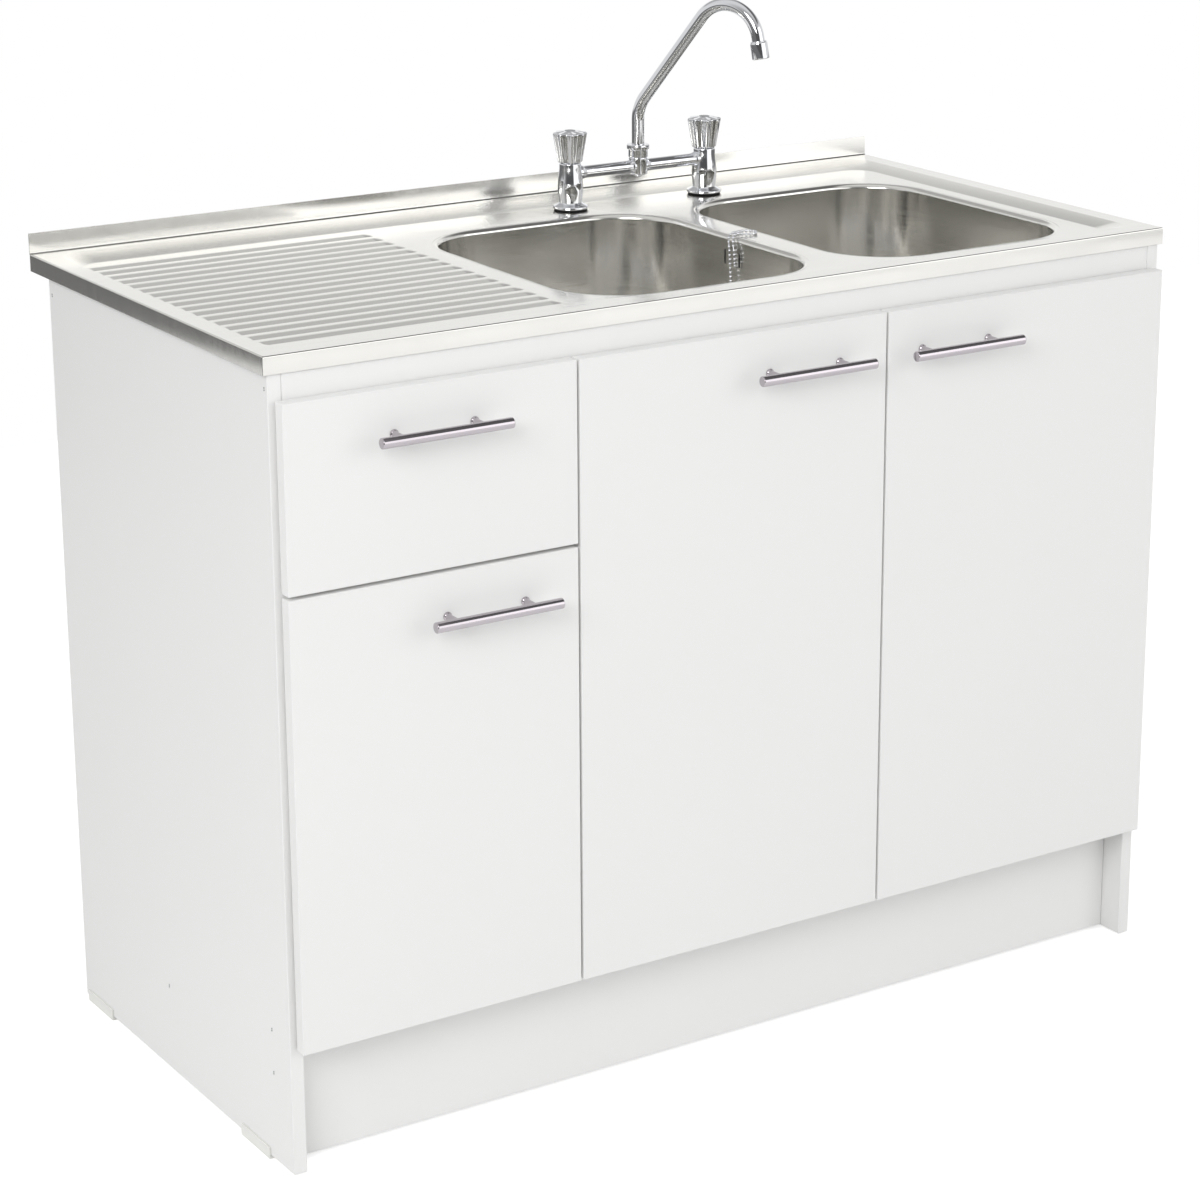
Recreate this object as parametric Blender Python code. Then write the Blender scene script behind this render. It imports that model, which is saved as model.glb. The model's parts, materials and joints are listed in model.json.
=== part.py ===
"""White kitchen sink cabinet with a pressed stainless steel double-bowl top and a two-knob bridge mixer.

Lengths are in metres and +Z is up. Places are measured from the middle of the cabinet's width (X),
from the front edge of the sink top (Y, going back) and from the floor (Z). One empty then moves the
whole cabinet so that the middle of its base is at the world's origin.
"""

import math

import bmesh
import bpy
from mathutils import Matrix, Vector

# Clearance between pieces that touch
GAP = 0.0003

# Sink top, a pressed sheet with a tray, a drainer, an apron and an upstand at the back
SINK_WIDTH = 1.200
SINK_DEPTH = 0.600
RIM_HEIGHT = 0.920
SHEET = 0.0012
APRON_DROP = 0.020
UPSTAND_RISE = 0.024
RIM_WIDTH = 0.024
TRAY_DROP = 0.006
TRAY_FRONT_SLOPE = 0.016
TRAY_BACK_SLOPE = 0.040
TRAY_LEFT_SLOPE = 0.011
TRAY_RIGHT_SLOPE = 0.030
TRAY_CORNER = 0.030

# Drainer grooves, pressed into the tray beside the left bowl
GROOVE_PITCH = 0.027
GROOVE_WIDTH = 0.018
GROOVE_DEPTH = 0.003
GROOVE_BANK = 0.004
GROOVE_ROUNDING = 0.45
DRAINER_MARGIN = 0.004
DRAINER_TO_BOWL = 0.024
DRAINER_FRONT_MARGIN = 0.022
DRAINER_BACK_MARGIN = 0.0128

# Bowls, welded into the tray
BOWL_WIDTH = 0.340
BOWL_DEPTH = 0.150
BOWL_CORNER = 0.095
BOWL_FRONT_LAND = 0.010
BOWL_RIGHT_LAND = 0.014
TAP_LEDGE = 0.130
BOWL_SPACING = 0.032
BOWL_TO_PARTITION = 0.0485
BOWL_LEDGE = 0.002
BOWL_LIP_RADIUS = 0.006
BOWL_FLOOR_RADIUS = 0.040
BOWL_FALL = 0.002

# Wastes in the bowl floors, the plug and its chain
WASTE_HOLE = 0.024
WASTE_HOLE_ROUNDING = 0.95
WASTE_FLANGE = 0.035
WASTE_FLANGE_THICK = 0.0022
WASTE_FLANGE_EDGE = 0.0007
WASTE_DISH = 0.0011
WASTE_DISH_DROP = 0.0004
WASTE_TAIL = 0.0225
WASTE_BORE = 0.0195
WASTE_LENGTH = 0.060
WASTE_BAR = 0.0024
WASTE_BAR_DROP = 0.004
WASTE_NUT = 0.034
WASTE_NUT_HEIGHT = 0.009
PLUG_TOP = 0.0205
PLUG_BASE = 0.0180
PLUG_HEIGHT = 0.009
PLUG_EDGE = 0.0020
PLUG_POST = 0.0040
PLUG_POST_HEIGHT = 0.006
PLUG_POST_FILLET = 0.0015
CHAIN_DIAMETER = 0.0032
CHAIN_STEP = 2.8

# Overflow cover on the left bowl's right wall
OVERFLOW_WIDTH = 0.038
OVERFLOW_HEIGHT = 0.026
OVERFLOW_THICK = 0.002
OVERFLOW_BELOW_TRAY = 0.026
OVERFLOW_SLOT = 0.004
OVERFLOW_PIPE = 0.010
OVERFLOW_PIPE_LENGTH = 0.020
OVERFLOW_ROUNDING = 0.45

# Bridge mixer
MIXER_OFFSET = 0.004
MIXER_FROM_BACK = 0.088
MIXER_SPACING = 0.200
TAP_HOLE = 0.014
TAIL_RADIUS = 0.0104
TAIL_LENGTH = 0.045
GASKET_RADIUS = 0.0220
GASKET_THICK = 0.0026
BACK_NUT = 0.0170
BACK_NUT_HEIGHT = 0.007
BACK_NUT_FLATS = 6
FLANGE_RADIUS = 0.0225
FLANGE_RIM = 0.0022
FLANGE_EDGE = 0.0018
FLANGE_THICK = 0.0050
FLANGE_FILLET = 0.0022
PILLAR_BASE_RADIUS = 0.0134
PILLAR_RADIUS = 0.0150
PILLAR_BULGE_HEIGHT = 0.030
BONNET_RADIUS = 0.0142
BONNET_HEIGHT = 0.007
BONNET_CHAMFER = 0.0015
PILLAR_HEIGHT = 0.0556
SPINDLE_RADIUS = 0.0040
SPINDLE_HEIGHT = 0.012
BRIDGE_RADIUS = 0.0076
BRIDGE_FLARE = 0.0100
BRIDGE_FLARE_LENGTH = 0.012
BRIDGE_HEIGHT = 0.042
HUB_RADIUS = 0.0105
HUB_HEIGHT = 0.0575
HUB_FOOT_RADIUS = 0.0045
HUB_FOOT_DROP = 0.0030
KNOB_HEIGHT = 0.040
KNOB_BASE_RADIUS = 0.0152
KNOB_TOP_RADIUS = 0.0218
KNOB_EDGE = 0.0020
KNOB_CROWN_HEIGHT = 0.0026
KNOB_INDEX_RADIUS = 0.0085
KNOB_FLUTES = 8
KNOB_FLUTE_DEPTH = 0.0026
KNOB_FLUTE_FOOT_DEPTH = 0.0015
KNOB_FLUTE_POWER = 0.7

# Swivel spout, its union nut and its aerator
SPOUT_RADIUS = 0.0076
SPOUT_COLLAR = 0.0096
SPOUT_COLLAR_HEIGHT = 0.005
SPOUT_RISE = 0.049
SPOUT_ELBOW_RADIUS = 0.030
SPOUT_ELBOW_TURN = 38.0
SPOUT_RUN = 0.140
SPOUT_ARCH_RADIUS = 0.045
SPOUT_ARCH_TURN = 132.0
SPOUT_END = 0.010
SPOUT_HEADING = 25.0
UNION_NUT_RADIUS = 0.0124
UNION_NUT_FLANGE = 0.0144
UNION_NUT_FLANGE_HEIGHT = 0.0060
UNION_NUT_EDGE = 0.0010
UNION_NUT_SKIRT = 0.004
UNION_NUT_HEIGHT = 0.016
AERATOR_RADIUS = 0.0102
AERATOR_EDGE = 0.0008
AERATOR_LENGTH = 0.022
AERATOR_BORE = 0.0068
AERATOR_OUTLET = 0.0034
AERATOR_RECESS = 0.006

# Carcass boards
BOARD = 0.016
EDGE_EASE = 0.0008
SIDE_INSET = 0.005
CARCASS_SETBACK = 0.0025
CARCASS_BACK_SETBACK = 0.0415
BOTTOM_HEIGHT = 0.152
FRONT_RAIL_HEIGHT = 0.070
REAR_RAIL_HEIGHT = 0.070
PLINTH_SETBACK = 0.034
PLINTH_FLOOR_GAP = 0.006
SUPPORT_SETBACK = 0.310
SUPPORT_HEIGHT = 0.084

# Plastic glides clipped under the side panels
GLIDE_LENGTH = 0.070
GLIDE_BASE = 0.004
GLIDE_WALL = 0.0018
GLIDE_LIP = 0.010
GLIDE_FRONT_MARGIN = 0.056
GLIDE_BACK_MARGIN = 0.010

# Fronts
FRONT_THICK = 0.016
FRONT_BELOW_RIM = 0.048
FRONT_MARGIN = 0.012
FRONT_REVEAL = 0.003
RIGHT_FRONT_WIDTH = 0.410
DRAWER_FRONT_HEIGHT = 0.205
DRAWER_REVEAL = 0.004

# Bar handles
HANDLE_LENGTH = 0.156
HANDLE_RADIUS = 0.006
HANDLE_CHAMFER = 0.001
HANDLE_POSTS = 0.096
HANDLE_POST_RADIUS = 0.0045
HANDLE_STANDOFF = 0.028
HANDLE_DROP = 0.049
LEFT_HANDLE_MARGIN = 0.038
MIDDLE_HANDLE_MARGIN = 0.036
RIGHT_HANDLE_MARGIN = 0.018

# Drawer box, with grooved sides that slide on strips screwed to the carcass
DRAWER_LENGTH = 0.450
DRAWER_SIDE_THICK = 0.016
DRAWER_SIDE_HEIGHT = 0.110
DRAWER_BOTTOM_LIFT = 0.033
DRAWER_SIDE_PLAY = 0.001
DRAWER_PANEL = 0.003
DRAWER_PANEL_LIFT = 0.008
DRAWER_PANEL_GROOVE = 0.005
RUNNER_HEIGHT = 0.017
RUNNER_DEPTH = 0.009
RUNNER_LENGTH = 0.420
RUNNER_SETBACK = 0.022
RUNNER_LIFT = 0.050

# Cup hinges
CUP_RADIUS = 0.0175
CUP_DEPTH = 0.0115
CUP_WALL = 0.0012
CUP_EDGE_DISTANCE = 0.022
CUP_WING_LENGTH = 0.060
CUP_WING_WIDTH = 0.016
CUP_WING_THICK = 0.001
CUP_FLOOR_HOLE = 0.0052
HINGE_END_DISTANCE = 0.100
ARM_WIDTH = 0.014
ARM_LENGTH = 0.078
ARM_BODY_START = 0.0312
ARM_TAIL_SLOPE = 0.0094
ARM_TAIL_HEIGHT = 0.0072
ARM_NECK_FAR = 0.0125
ARM_NECK_NEAR = 0.0101
ARM_PLATE_START = 0.0351
ARM_PLATE_LENGTH = 0.050
ARM_PLATE_DEPTH = 0.032
ARM_PLATE_THICK = 0.002
ARM_HEIGHT = 0.012
ARM_TIP_WIDTH = 0.012
ARM_TIP_OFFSET = 0.002

# Facets
ROUND_SIDES = 20
SMALL_SIDES = 12
CORNER_STEPS = 6
GROOVE_STEPS = 2
TRAY_STEPS = 3
LIP_STEPS = 2
FLOOR_STEPS = 3
HINGE_SIDES = 12
FLUTE_STEPS = 4
KNOB_STEPS = 3
ROUTE_STEPS = 12
ELBOW_STEPS = 5
ARCH_STEPS = 12

# Places that follow from the sizes above
TRAY_Z = RIM_HEIGHT - TRAY_DROP
SHEET_BACK = SINK_DEPTH - SHEET
CARCASS_FRONT = CARCASS_SETBACK
CARCASS_BACK = SINK_DEPTH - CARCASS_BACK_SETBACK
SIDE_OUT = SINK_WIDTH / 2 - SIDE_INSET
SIDE_IN = SIDE_OUT - BOARD
BETWEEN_SIDES = (-SIDE_IN + GAP, SIDE_IN - GAP)
RIM_UNDERSIDE = RIM_HEIGHT - SHEET - GAP
TRAY_UNDERSIDE = TRAY_Z - SHEET - GAP
GROOVE_UNDERSIDE = TRAY_UNDERSIDE - GROOVE_DEPTH
BOTTOM_TOP = BOTTOM_HEIGHT + BOARD
FRONT_FACE = -FRONT_THICK
FRONT_LEFT = -SINK_WIDTH / 2 + FRONT_MARGIN
FRONT_RIGHT = SINK_WIDTH / 2 - FRONT_MARGIN
TRAY_X = (-SINK_WIDTH / 2 + RIM_WIDTH + TRAY_LEFT_SLOPE, SINK_WIDTH / 2 - RIM_WIDTH - TRAY_RIGHT_SLOPE)
TRAY_Y = (RIM_WIDTH + TRAY_FRONT_SLOPE, SHEET_BACK - RIM_WIDTH - TRAY_BACK_SLOPE)
BOWL_RIGHT_X = (TRAY_X[1] - BOWL_RIGHT_LAND - BOWL_WIDTH, TRAY_X[1] - BOWL_RIGHT_LAND)
BOWL_LEFT_X = (BOWL_RIGHT_X[0] - BOWL_SPACING - BOWL_WIDTH, BOWL_RIGHT_X[0] - BOWL_SPACING)
BOWL_Y = (TRAY_Y[0] + BOWL_FRONT_LAND, SINK_DEPTH - TAP_LEDGE)
BOWL_WALL_INSET = GAP + BOWL_LEDGE + BOWL_LIP_RADIUS
BOWL_OUTLET_Z = TRAY_Z - BOWL_DEPTH - BOWL_FALL
PARTITION_RIGHT = BOWL_LEFT_X[0] - BOWL_TO_PARTITION
PARTITION_LEFT = PARTITION_RIGHT - BOARD
PARTITION_X = (PARTITION_LEFT + PARTITION_RIGHT) / 2
LEFT_FRONT_X = (FRONT_LEFT, PARTITION_X - FRONT_REVEAL / 2)
RIGHT_FRONT_X = (FRONT_RIGHT - RIGHT_FRONT_WIDTH, FRONT_RIGHT)
MIDDLE_FRONT_X = (LEFT_FRONT_X[1] + FRONT_REVEAL, RIGHT_FRONT_X[0] - FRONT_REVEAL)
FRONT_TOP = RIM_HEIGHT - FRONT_BELOW_RIM
DRAWER_FRONT_Z = (FRONT_TOP - DRAWER_FRONT_HEIGHT, FRONT_TOP)
LEFT_DOOR_Z = (BOTTOM_HEIGHT, DRAWER_FRONT_Z[0] - DRAWER_REVEAL)
DOOR_Z = (BOTTOM_HEIGHT, FRONT_TOP)
MIXER_CENTRE = BOWL_RIGHT_X[0] - BOWL_SPACING / 2 + MIXER_OFFSET
MIXER_Y = SINK_DEPTH - MIXER_FROM_BACK
TAP_X = (MIXER_CENTRE - MIXER_SPACING / 2, MIXER_CENTRE + MIXER_SPACING / 2)
FLANGE_Z = TRAY_Z + GASKET_THICK + 2 * GAP
KNOB_Z = FLANGE_Z + PILLAR_HEIGHT + GAP
HUB_TOP = FLANGE_Z + HUB_HEIGHT
HANDLE_FRONT = FRONT_FACE - HANDLE_STANDOFF - HANDLE_RADIUS
ORIGIN_Y = (SINK_DEPTH + HANDLE_FRONT) / 2


def make_material(name, colour, roughness, metallic=0.0):
    """A plain Principled finish."""
    finish = bpy.data.materials.new(name)
    finish.use_nodes = True
    shader = finish.node_tree.nodes["Principled BSDF"]
    shader.inputs["Base Color"].default_value = (*colour, 1.0)
    shader.inputs["Roughness"].default_value = roughness
    shader.inputs["Metallic"].default_value = metallic
    finish.diffuse_color = (*colour, 1.0)
    return finish


def make_frame(name, place, parent):
    """An empty on a joint's axis. Its place is given from the cabinet's own reference point."""
    frame = bpy.data.objects.new(name, None)
    bpy.context.scene.collection.objects.link(frame)
    frame.empty_display_size = 0.05
    frame.location = place
    frame.parent = parent
    return frame


def make_object(name, mesh, finish, frame, smooth_angle=None):
    """Links a mesh, whose points are in cabinet places, under the frame that carries it."""
    mesh.name = name
    mesh.materials.clear()
    mesh.materials.append(finish)
    if smooth_angle is not None:
        mesh.shade_smooth()
        mesh.set_sharp_from_angle(angle=math.radians(smooth_angle))
    obj = bpy.data.objects.new(name, mesh)
    bpy.context.scene.collection.objects.link(obj)
    obj.parent = frame
    if frame.parent:
        obj.location = -frame.location
    return obj


def to_mesh(shape):
    """Closes off a bmesh as mesh data."""
    mesh = bpy.data.meshes.new("shape")
    shape.to_mesh(mesh)
    shape.free()
    return mesh


def circle(radius, z, sides, centre=(0.0, 0.0)):
    """Points round a level circle, anticlockwise from above."""
    points = []
    for step in range(sides):
        angle = 2 * math.pi * step / sides
        points.append(Vector((centre[0] + radius * math.cos(angle), centre[1] + radius * math.sin(angle), z)))
    return points


def rounded_rectangle(x, y, corner, z, steps):
    """Points round a level rectangle with round corners, anticlockwise from above."""
    centres = (
        (x[1] - corner, y[0] + corner),
        (x[1] - corner, y[1] - corner),
        (x[0] + corner, y[1] - corner),
        (x[0] + corner, y[0] + corner),
    )
    points = []
    for quarter, (centre_x, centre_y) in enumerate(centres):
        for step in range(steps + 1):
            angle = math.radians(90 * (quarter - 1 + step / steps))
            x = centre_x + corner * math.cos(angle)
            y = centre_y + corner * math.sin(angle)
            points.append(Vector((x, y, z)))
    return points


def shrink(span, amount):
    """The span with both ends moved in."""
    return (span[0] + amount, span[1] - amount)


def middle(span):
    """The middle of a span."""
    return (span[0] + span[1]) / 2


def skin(shape, rings):
    """Joins rings of as many points each with bands of quads."""
    loops = [[shape.verts.new(point) for point in ring] for ring in rings]
    for upper, lower in zip(loops, loops[1:]):
        for here in range(len(upper)):
            there = (here + 1) % len(upper)
            shape.faces.new((upper[here], upper[there], lower[there], lower[here]))
    return loops


def loft(rings, closed=False):
    """A closed solid through rings: capped at both ends, or with the last ring joined to the first."""
    shape = bmesh.new()
    loops = skin(shape, rings)
    if closed:
        for here in range(len(loops[0])):
            there = (here + 1) % len(loops[0])
            shape.faces.new((loops[-1][here], loops[-1][there], loops[0][there], loops[0][here]))
    else:
        shape.faces.new(loops[0])
        shape.faces.new(loops[-1])
    bmesh.ops.recalc_face_normals(shape, faces=shape.faces)
    return to_mesh(shape)


def turned(profile, sides, centre, closed=False):
    """A solid turned about a vertical axis from pairs of radius and height."""
    return loft([circle(radius, z, sides, centre) for radius, z in profile], closed)


def extruded(outline, span, place):
    """A prism: place turns an outline point and a distance along the span into a point in space."""
    shape = bmesh.new()
    skin(shape, [[place(point, end) for point in outline] for end in span])
    shape.verts.ensure_lookup_table()
    count = len(outline)
    shape.faces.new(shape.verts[:count])
    shape.faces.new(shape.verts[count:])
    bmesh.ops.recalc_face_normals(shape, faces=shape.faces)
    return to_mesh(shape)


def along_x(point, x):
    """Places an outline drawn in Y and Z."""
    return Vector((x, point[0], point[1]))


def along_y(point, y):
    """Places an outline drawn in X and Z."""
    return Vector((point[0], y, point[1]))


def along_z(point, z):
    """Places an outline drawn in X and Y."""
    return Vector((point[0], point[1], z))


def block(x, y, z):
    """A plain block between limits."""
    corners = ((x[0], y[0]), (x[1], y[0]), (x[1], y[1]), (x[0], y[1]))
    return extruded(corners, z, along_z)


def combined(base, others, operation):
    """Mesh data of one solid joined with, or cut by, others."""
    holder = bpy.data.objects.new("holder", base)
    bpy.context.scene.collection.objects.link(holder)
    helpers = [holder]
    for other in others:
        helper = bpy.data.objects.new("helper", other)
        bpy.context.scene.collection.objects.link(helper)
        helpers.append(helper)
        modifier = holder.modifiers.new("join", "BOOLEAN")
        modifier.operation = operation
        modifier.solver = "EXACT"
        modifier.object = helper
    graph = bpy.context.evaluated_depsgraph_get()
    result = bpy.data.meshes.new_from_object(holder.evaluated_get(graph))
    for helper in helpers:
        bpy.data.objects.remove(helper)
    return result


def ease_edges(obj, width):
    """Takes the sharpness off a board's edges."""
    bevel = obj.modifiers.new("eased edges", "BEVEL")
    bevel.width = width
    bevel.segments = 1
    bevel.limit_method = "ANGLE"
    return obj


def board(name, x, y, z, finish, frame):
    """A cut board with eased edges."""
    return ease_edges(make_object(name, block(x, y, z), finish, frame), EDGE_EASE)


def thicken(obj, thickness):
    """Turns a pressed surface into sheet metal, whose thickness lies behind the visible face."""
    solidify = obj.modifiers.new("sheet", "SOLIDIFY")
    solidify.thickness = thickness
    solidify.offset = -1.0
    solidify.solidify_mode = "NON_MANIFOLD"
    solidify.nonmanifold_thickness_mode = "CONSTRAINTS"
    return obj


def drill(obj, mesh):
    """Cuts a hole with a cutter that stays beside the object, out of the render."""
    cutter = bpy.data.objects.new(obj.name + "_cutter", mesh)
    bpy.context.scene.collection.objects.link(cutter)
    cutter.parent = obj
    cutter.hide_render = True
    cutter.display_type = "WIRE"
    modifier = obj.modifiers.new("hole", "BOOLEAN")
    modifier.operation = "DIFFERENCE"
    modifier.solver = "EXACT"
    modifier.object = cutter


def loop_edges(shape, loop):
    """The edges round a loop of points, made where they are missing."""
    edges = []
    for here, there in zip(loop, loop[1:] + loop[:1]):
        edges.append(shape.edges.get((here, there)) or shape.edges.new((here, there)))
    return edges


def fill_level(shape, loops):
    """Fills the level region between an outer loop and the loops inside it, facing up."""
    edges = [edge for loop in loops for edge in loop_edges(shape, loop)]
    made = bmesh.ops.triangle_fill(shape, use_beauty=True, edges=edges, normal=(0, 0, 1))
    for face in made["geom"]:
        if isinstance(face, bmesh.types.BMFace):
            face.normal_update()
            if face.normal.z < 0:
                face.normal_flip()


def build_carcass(frame, melamine):
    """Side panels, partition, bottom, rails, plinth and the support behind it."""
    depth = (CARCASS_FRONT, CARCASS_BACK)
    panel_z = (GLIDE_BASE + GAP, RIM_UNDERSIDE)
    board("side_panel_left", (-SIDE_OUT, -SIDE_IN), depth, panel_z, melamine, frame)
    board("side_panel_right", (SIDE_IN, SIDE_OUT), depth, panel_z, melamine, frame)
    board("bottom_panel", BETWEEN_SIDES, depth, (BOTTOM_HEIGHT, BOTTOM_TOP), melamine, frame)

    front_rail_y = (CARCASS_FRONT, CARCASS_FRONT + BOARD)
    front_rail_z = (RIM_UNDERSIDE - FRONT_RAIL_HEIGHT, RIM_UNDERSIDE)
    board("front_rail", BETWEEN_SIDES, front_rail_y, front_rail_z, melamine, frame)
    rear_rail_y = (CARCASS_BACK - BOARD, CARCASS_BACK)
    rear_rail_z = (TRAY_UNDERSIDE - REAR_RAIL_HEIGHT, TRAY_UNDERSIDE)
    board("rear_rail", BETWEEN_SIDES, rear_rail_y, rear_rail_z, melamine, frame)

    outline = (
        (CARCASS_FRONT, BOTTOM_TOP + GAP),
        (CARCASS_BACK, BOTTOM_TOP + GAP),
        (CARCASS_BACK, rear_rail_z[0] - GAP),
        (rear_rail_y[0] - GAP, rear_rail_z[0] - GAP),
        (rear_rail_y[0] - GAP, GROOVE_UNDERSIDE),
        (front_rail_y[1] + GAP, GROOVE_UNDERSIDE),
        (front_rail_y[1] + GAP, front_rail_z[0] - GAP),
        (CARCASS_FRONT, front_rail_z[0] - GAP),
    )
    partition = extruded(outline, (PARTITION_LEFT, PARTITION_RIGHT), along_x)
    ease_edges(make_object("partition", partition, melamine, frame), EDGE_EASE)

    plinth_y = (CARCASS_FRONT + PLINTH_SETBACK, CARCASS_FRONT + PLINTH_SETBACK + BOARD)
    under_bottom = BOTTOM_HEIGHT - GAP
    board("plinth", BETWEEN_SIDES, plinth_y, (PLINTH_FLOOR_GAP, under_bottom), melamine, frame)
    support_y = (CARCASS_FRONT + SUPPORT_SETBACK, CARCASS_FRONT + SUPPORT_SETBACK + BOARD)
    support_z = (under_bottom - SUPPORT_HEIGHT, under_bottom)
    board("plinth_support", BETWEEN_SIDES, support_y, support_z, melamine, frame)


def build_glides(frame, plastic):
    """A plastic channel clipped under the front and the back of each side panel."""
    inner = BOARD / 2 + GAP
    outer = inner + GLIDE_WALL
    front_y = CARCASS_FRONT + GLIDE_FRONT_MARGIN
    back_y = CARCASS_BACK - GLIDE_BACK_MARGIN - GLIDE_LENGTH
    for side, panel_x in (("left", -SIDE_OUT + BOARD / 2), ("right", SIDE_OUT - BOARD / 2)):
        outline = (
            (panel_x - outer, 0.0),
            (panel_x + outer, 0.0),
            (panel_x + outer, GLIDE_BASE + GLIDE_LIP),
            (panel_x + inner, GLIDE_BASE + GLIDE_LIP),
            (panel_x + inner, GLIDE_BASE),
            (panel_x - inner, GLIDE_BASE),
            (panel_x - inner, GLIDE_BASE + GLIDE_LIP),
            (panel_x - outer, GLIDE_BASE + GLIDE_LIP),
        )
        for end, start_y in (("front", front_y), ("rear", back_y)):
            channel = extruded(outline, (start_y, start_y + GLIDE_LENGTH), along_y)
            make_object(f"foot_{end}_{side}", channel, plastic, frame)


def build_sink_deck(frame, steel):
    """The pressed top: apron, upstand, rim, tray with holes, and drainer grooves."""
    shape = bmesh.new()
    half = SINK_WIDTH / 2
    corners = ((-half, 0.0), (half, 0.0), (half, SHEET_BACK), (-half, SHEET_BACK))
    rim = [shape.verts.new((x, y, RIM_HEIGHT)) for x, y in corners]
    low = [shape.verts.new((x, y, RIM_HEIGHT - APRON_DROP)) for x, y in corners]
    for here, there in ((0, 1), (1, 2), (3, 0)):
        shape.faces.new((low[here], low[there], rim[there], rim[here]))
    high = [shape.verts.new((x, y, RIM_HEIGHT + UPSTAND_RISE)) for x, y in corners[2:]]
    shape.faces.new((rim[3], rim[2], high[0], high[1]))

    rings = []
    flat_x = shrink((-half, half), RIM_WIDTH)
    flat_y = shrink((0.0, SHEET_BACK), RIM_WIDTH)
    for step in range(TRAY_STEPS + 1):
        share = step / TRAY_STEPS
        x = (flat_x[0] + share * TRAY_LEFT_SLOPE, flat_x[1] - share * TRAY_RIGHT_SLOPE)
        y = (flat_y[0] + share * TRAY_FRONT_SLOPE, flat_y[1] - share * TRAY_BACK_SLOPE)
        drop = TRAY_DROP * (1 - math.cos(math.pi * share)) / 2
        rings.append(rounded_rectangle(x, y, TRAY_CORNER, RIM_HEIGHT - drop, CORNER_STEPS))
    loops = skin(shape, rings)
    fill_level(shape, [rim, loops[0]])

    holes = []
    for bowl_x in (BOWL_LEFT_X, BOWL_RIGHT_X):
        holes.append(rounded_rectangle(bowl_x, BOWL_Y, BOWL_CORNER, TRAY_Z, CORNER_STEPS))
    for tap_x in TAP_X:
        holes.append(circle(TAP_HOLE, TRAY_Z, SMALL_SIDES, (tap_x, MIXER_Y)))
    openings = [[shape.verts.new(point) for point in hole] for hole in holes]

    groove_x = (TRAY_X[0] + DRAINER_MARGIN, BOWL_LEFT_X[0] - DRAINER_TO_BOWL)
    drainer_y = (TRAY_Y[0] + DRAINER_FRONT_MARGIN, TRAY_Y[1] - DRAINER_BACK_MARGIN)
    room = drainer_y[1] - drainer_y[0] - GROOVE_WIDTH
    count = int((room + GAP) / GROOVE_PITCH) + 1
    spare = room - (count - 1) * GROOVE_PITCH
    for number in range(count):
        start = drainer_y[0] + spare / 2 + number * GROOVE_PITCH
        groove_y = (start, start + GROOVE_WIDTH)
        floor_x = shrink(groove_x, GROOVE_BANK)
        floor_y = shrink(groove_y, GROOVE_BANK)
        edge = rounded_rectangle(groove_x, groove_y, GROOVE_ROUNDING * GROOVE_WIDTH, TRAY_Z, GROOVE_STEPS)
        corner = GROOVE_ROUNDING * (floor_y[1] - floor_y[0])
        floor = rounded_rectangle(floor_x, floor_y, corner, TRAY_Z - GROOVE_DEPTH, GROOVE_STEPS)
        groove = skin(shape, [edge, floor])
        shape.faces.new(groove[1])
        openings.append(groove[0])
    fill_level(shape, [loops[-1]] + openings)
    thicken(make_object("sink_deck", to_mesh(shape), steel, frame, 30), SHEET)


def build_bowl(name, bowl_x, frame, steel):
    """A drawn bowl: a level ledge, a rolled lip, upright walls and a floor that falls to the outlet."""
    steps = [(0.0, 0.0), (BOWL_LEDGE, 0.0)]
    for step in range(1, LIP_STEPS + 1):
        angle = math.pi / 2 * step / LIP_STEPS
        inset = BOWL_LEDGE + BOWL_LIP_RADIUS * math.sin(angle)
        steps.append((inset, BOWL_LIP_RADIUS * (1 - math.cos(angle))))
    wall = BOWL_LEDGE + BOWL_LIP_RADIUS
    for step in range(FLOOR_STEPS + 1):
        angle = math.pi / 2 * step / FLOOR_STEPS
        inset = wall + BOWL_FLOOR_RADIUS * (1 - math.cos(angle))
        steps.append((inset, BOWL_DEPTH - BOWL_FLOOR_RADIUS * (1 - math.sin(angle))))
    rings = []
    for inset, drop in steps:
        x = shrink(bowl_x, GAP + inset)
        y = shrink(BOWL_Y, GAP + inset)
        rings.append(rounded_rectangle(x, y, BOWL_CORNER - GAP - inset, TRAY_Z - drop, CORNER_STEPS))
    hole_x = (middle(bowl_x) - WASTE_HOLE, middle(bowl_x) + WASTE_HOLE)
    hole_y = (middle(BOWL_Y) - WASTE_HOLE, middle(BOWL_Y) + WASTE_HOLE)
    hole_corner = WASTE_HOLE_ROUNDING * WASTE_HOLE
    rings.append(rounded_rectangle(hole_x, hole_y, hole_corner, BOWL_OUTLET_Z, CORNER_STEPS))
    shape = bmesh.new()
    skin(shape, rings)
    return thicken(make_object(name, to_mesh(shape), steel, frame, 40), SHEET)


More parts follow.
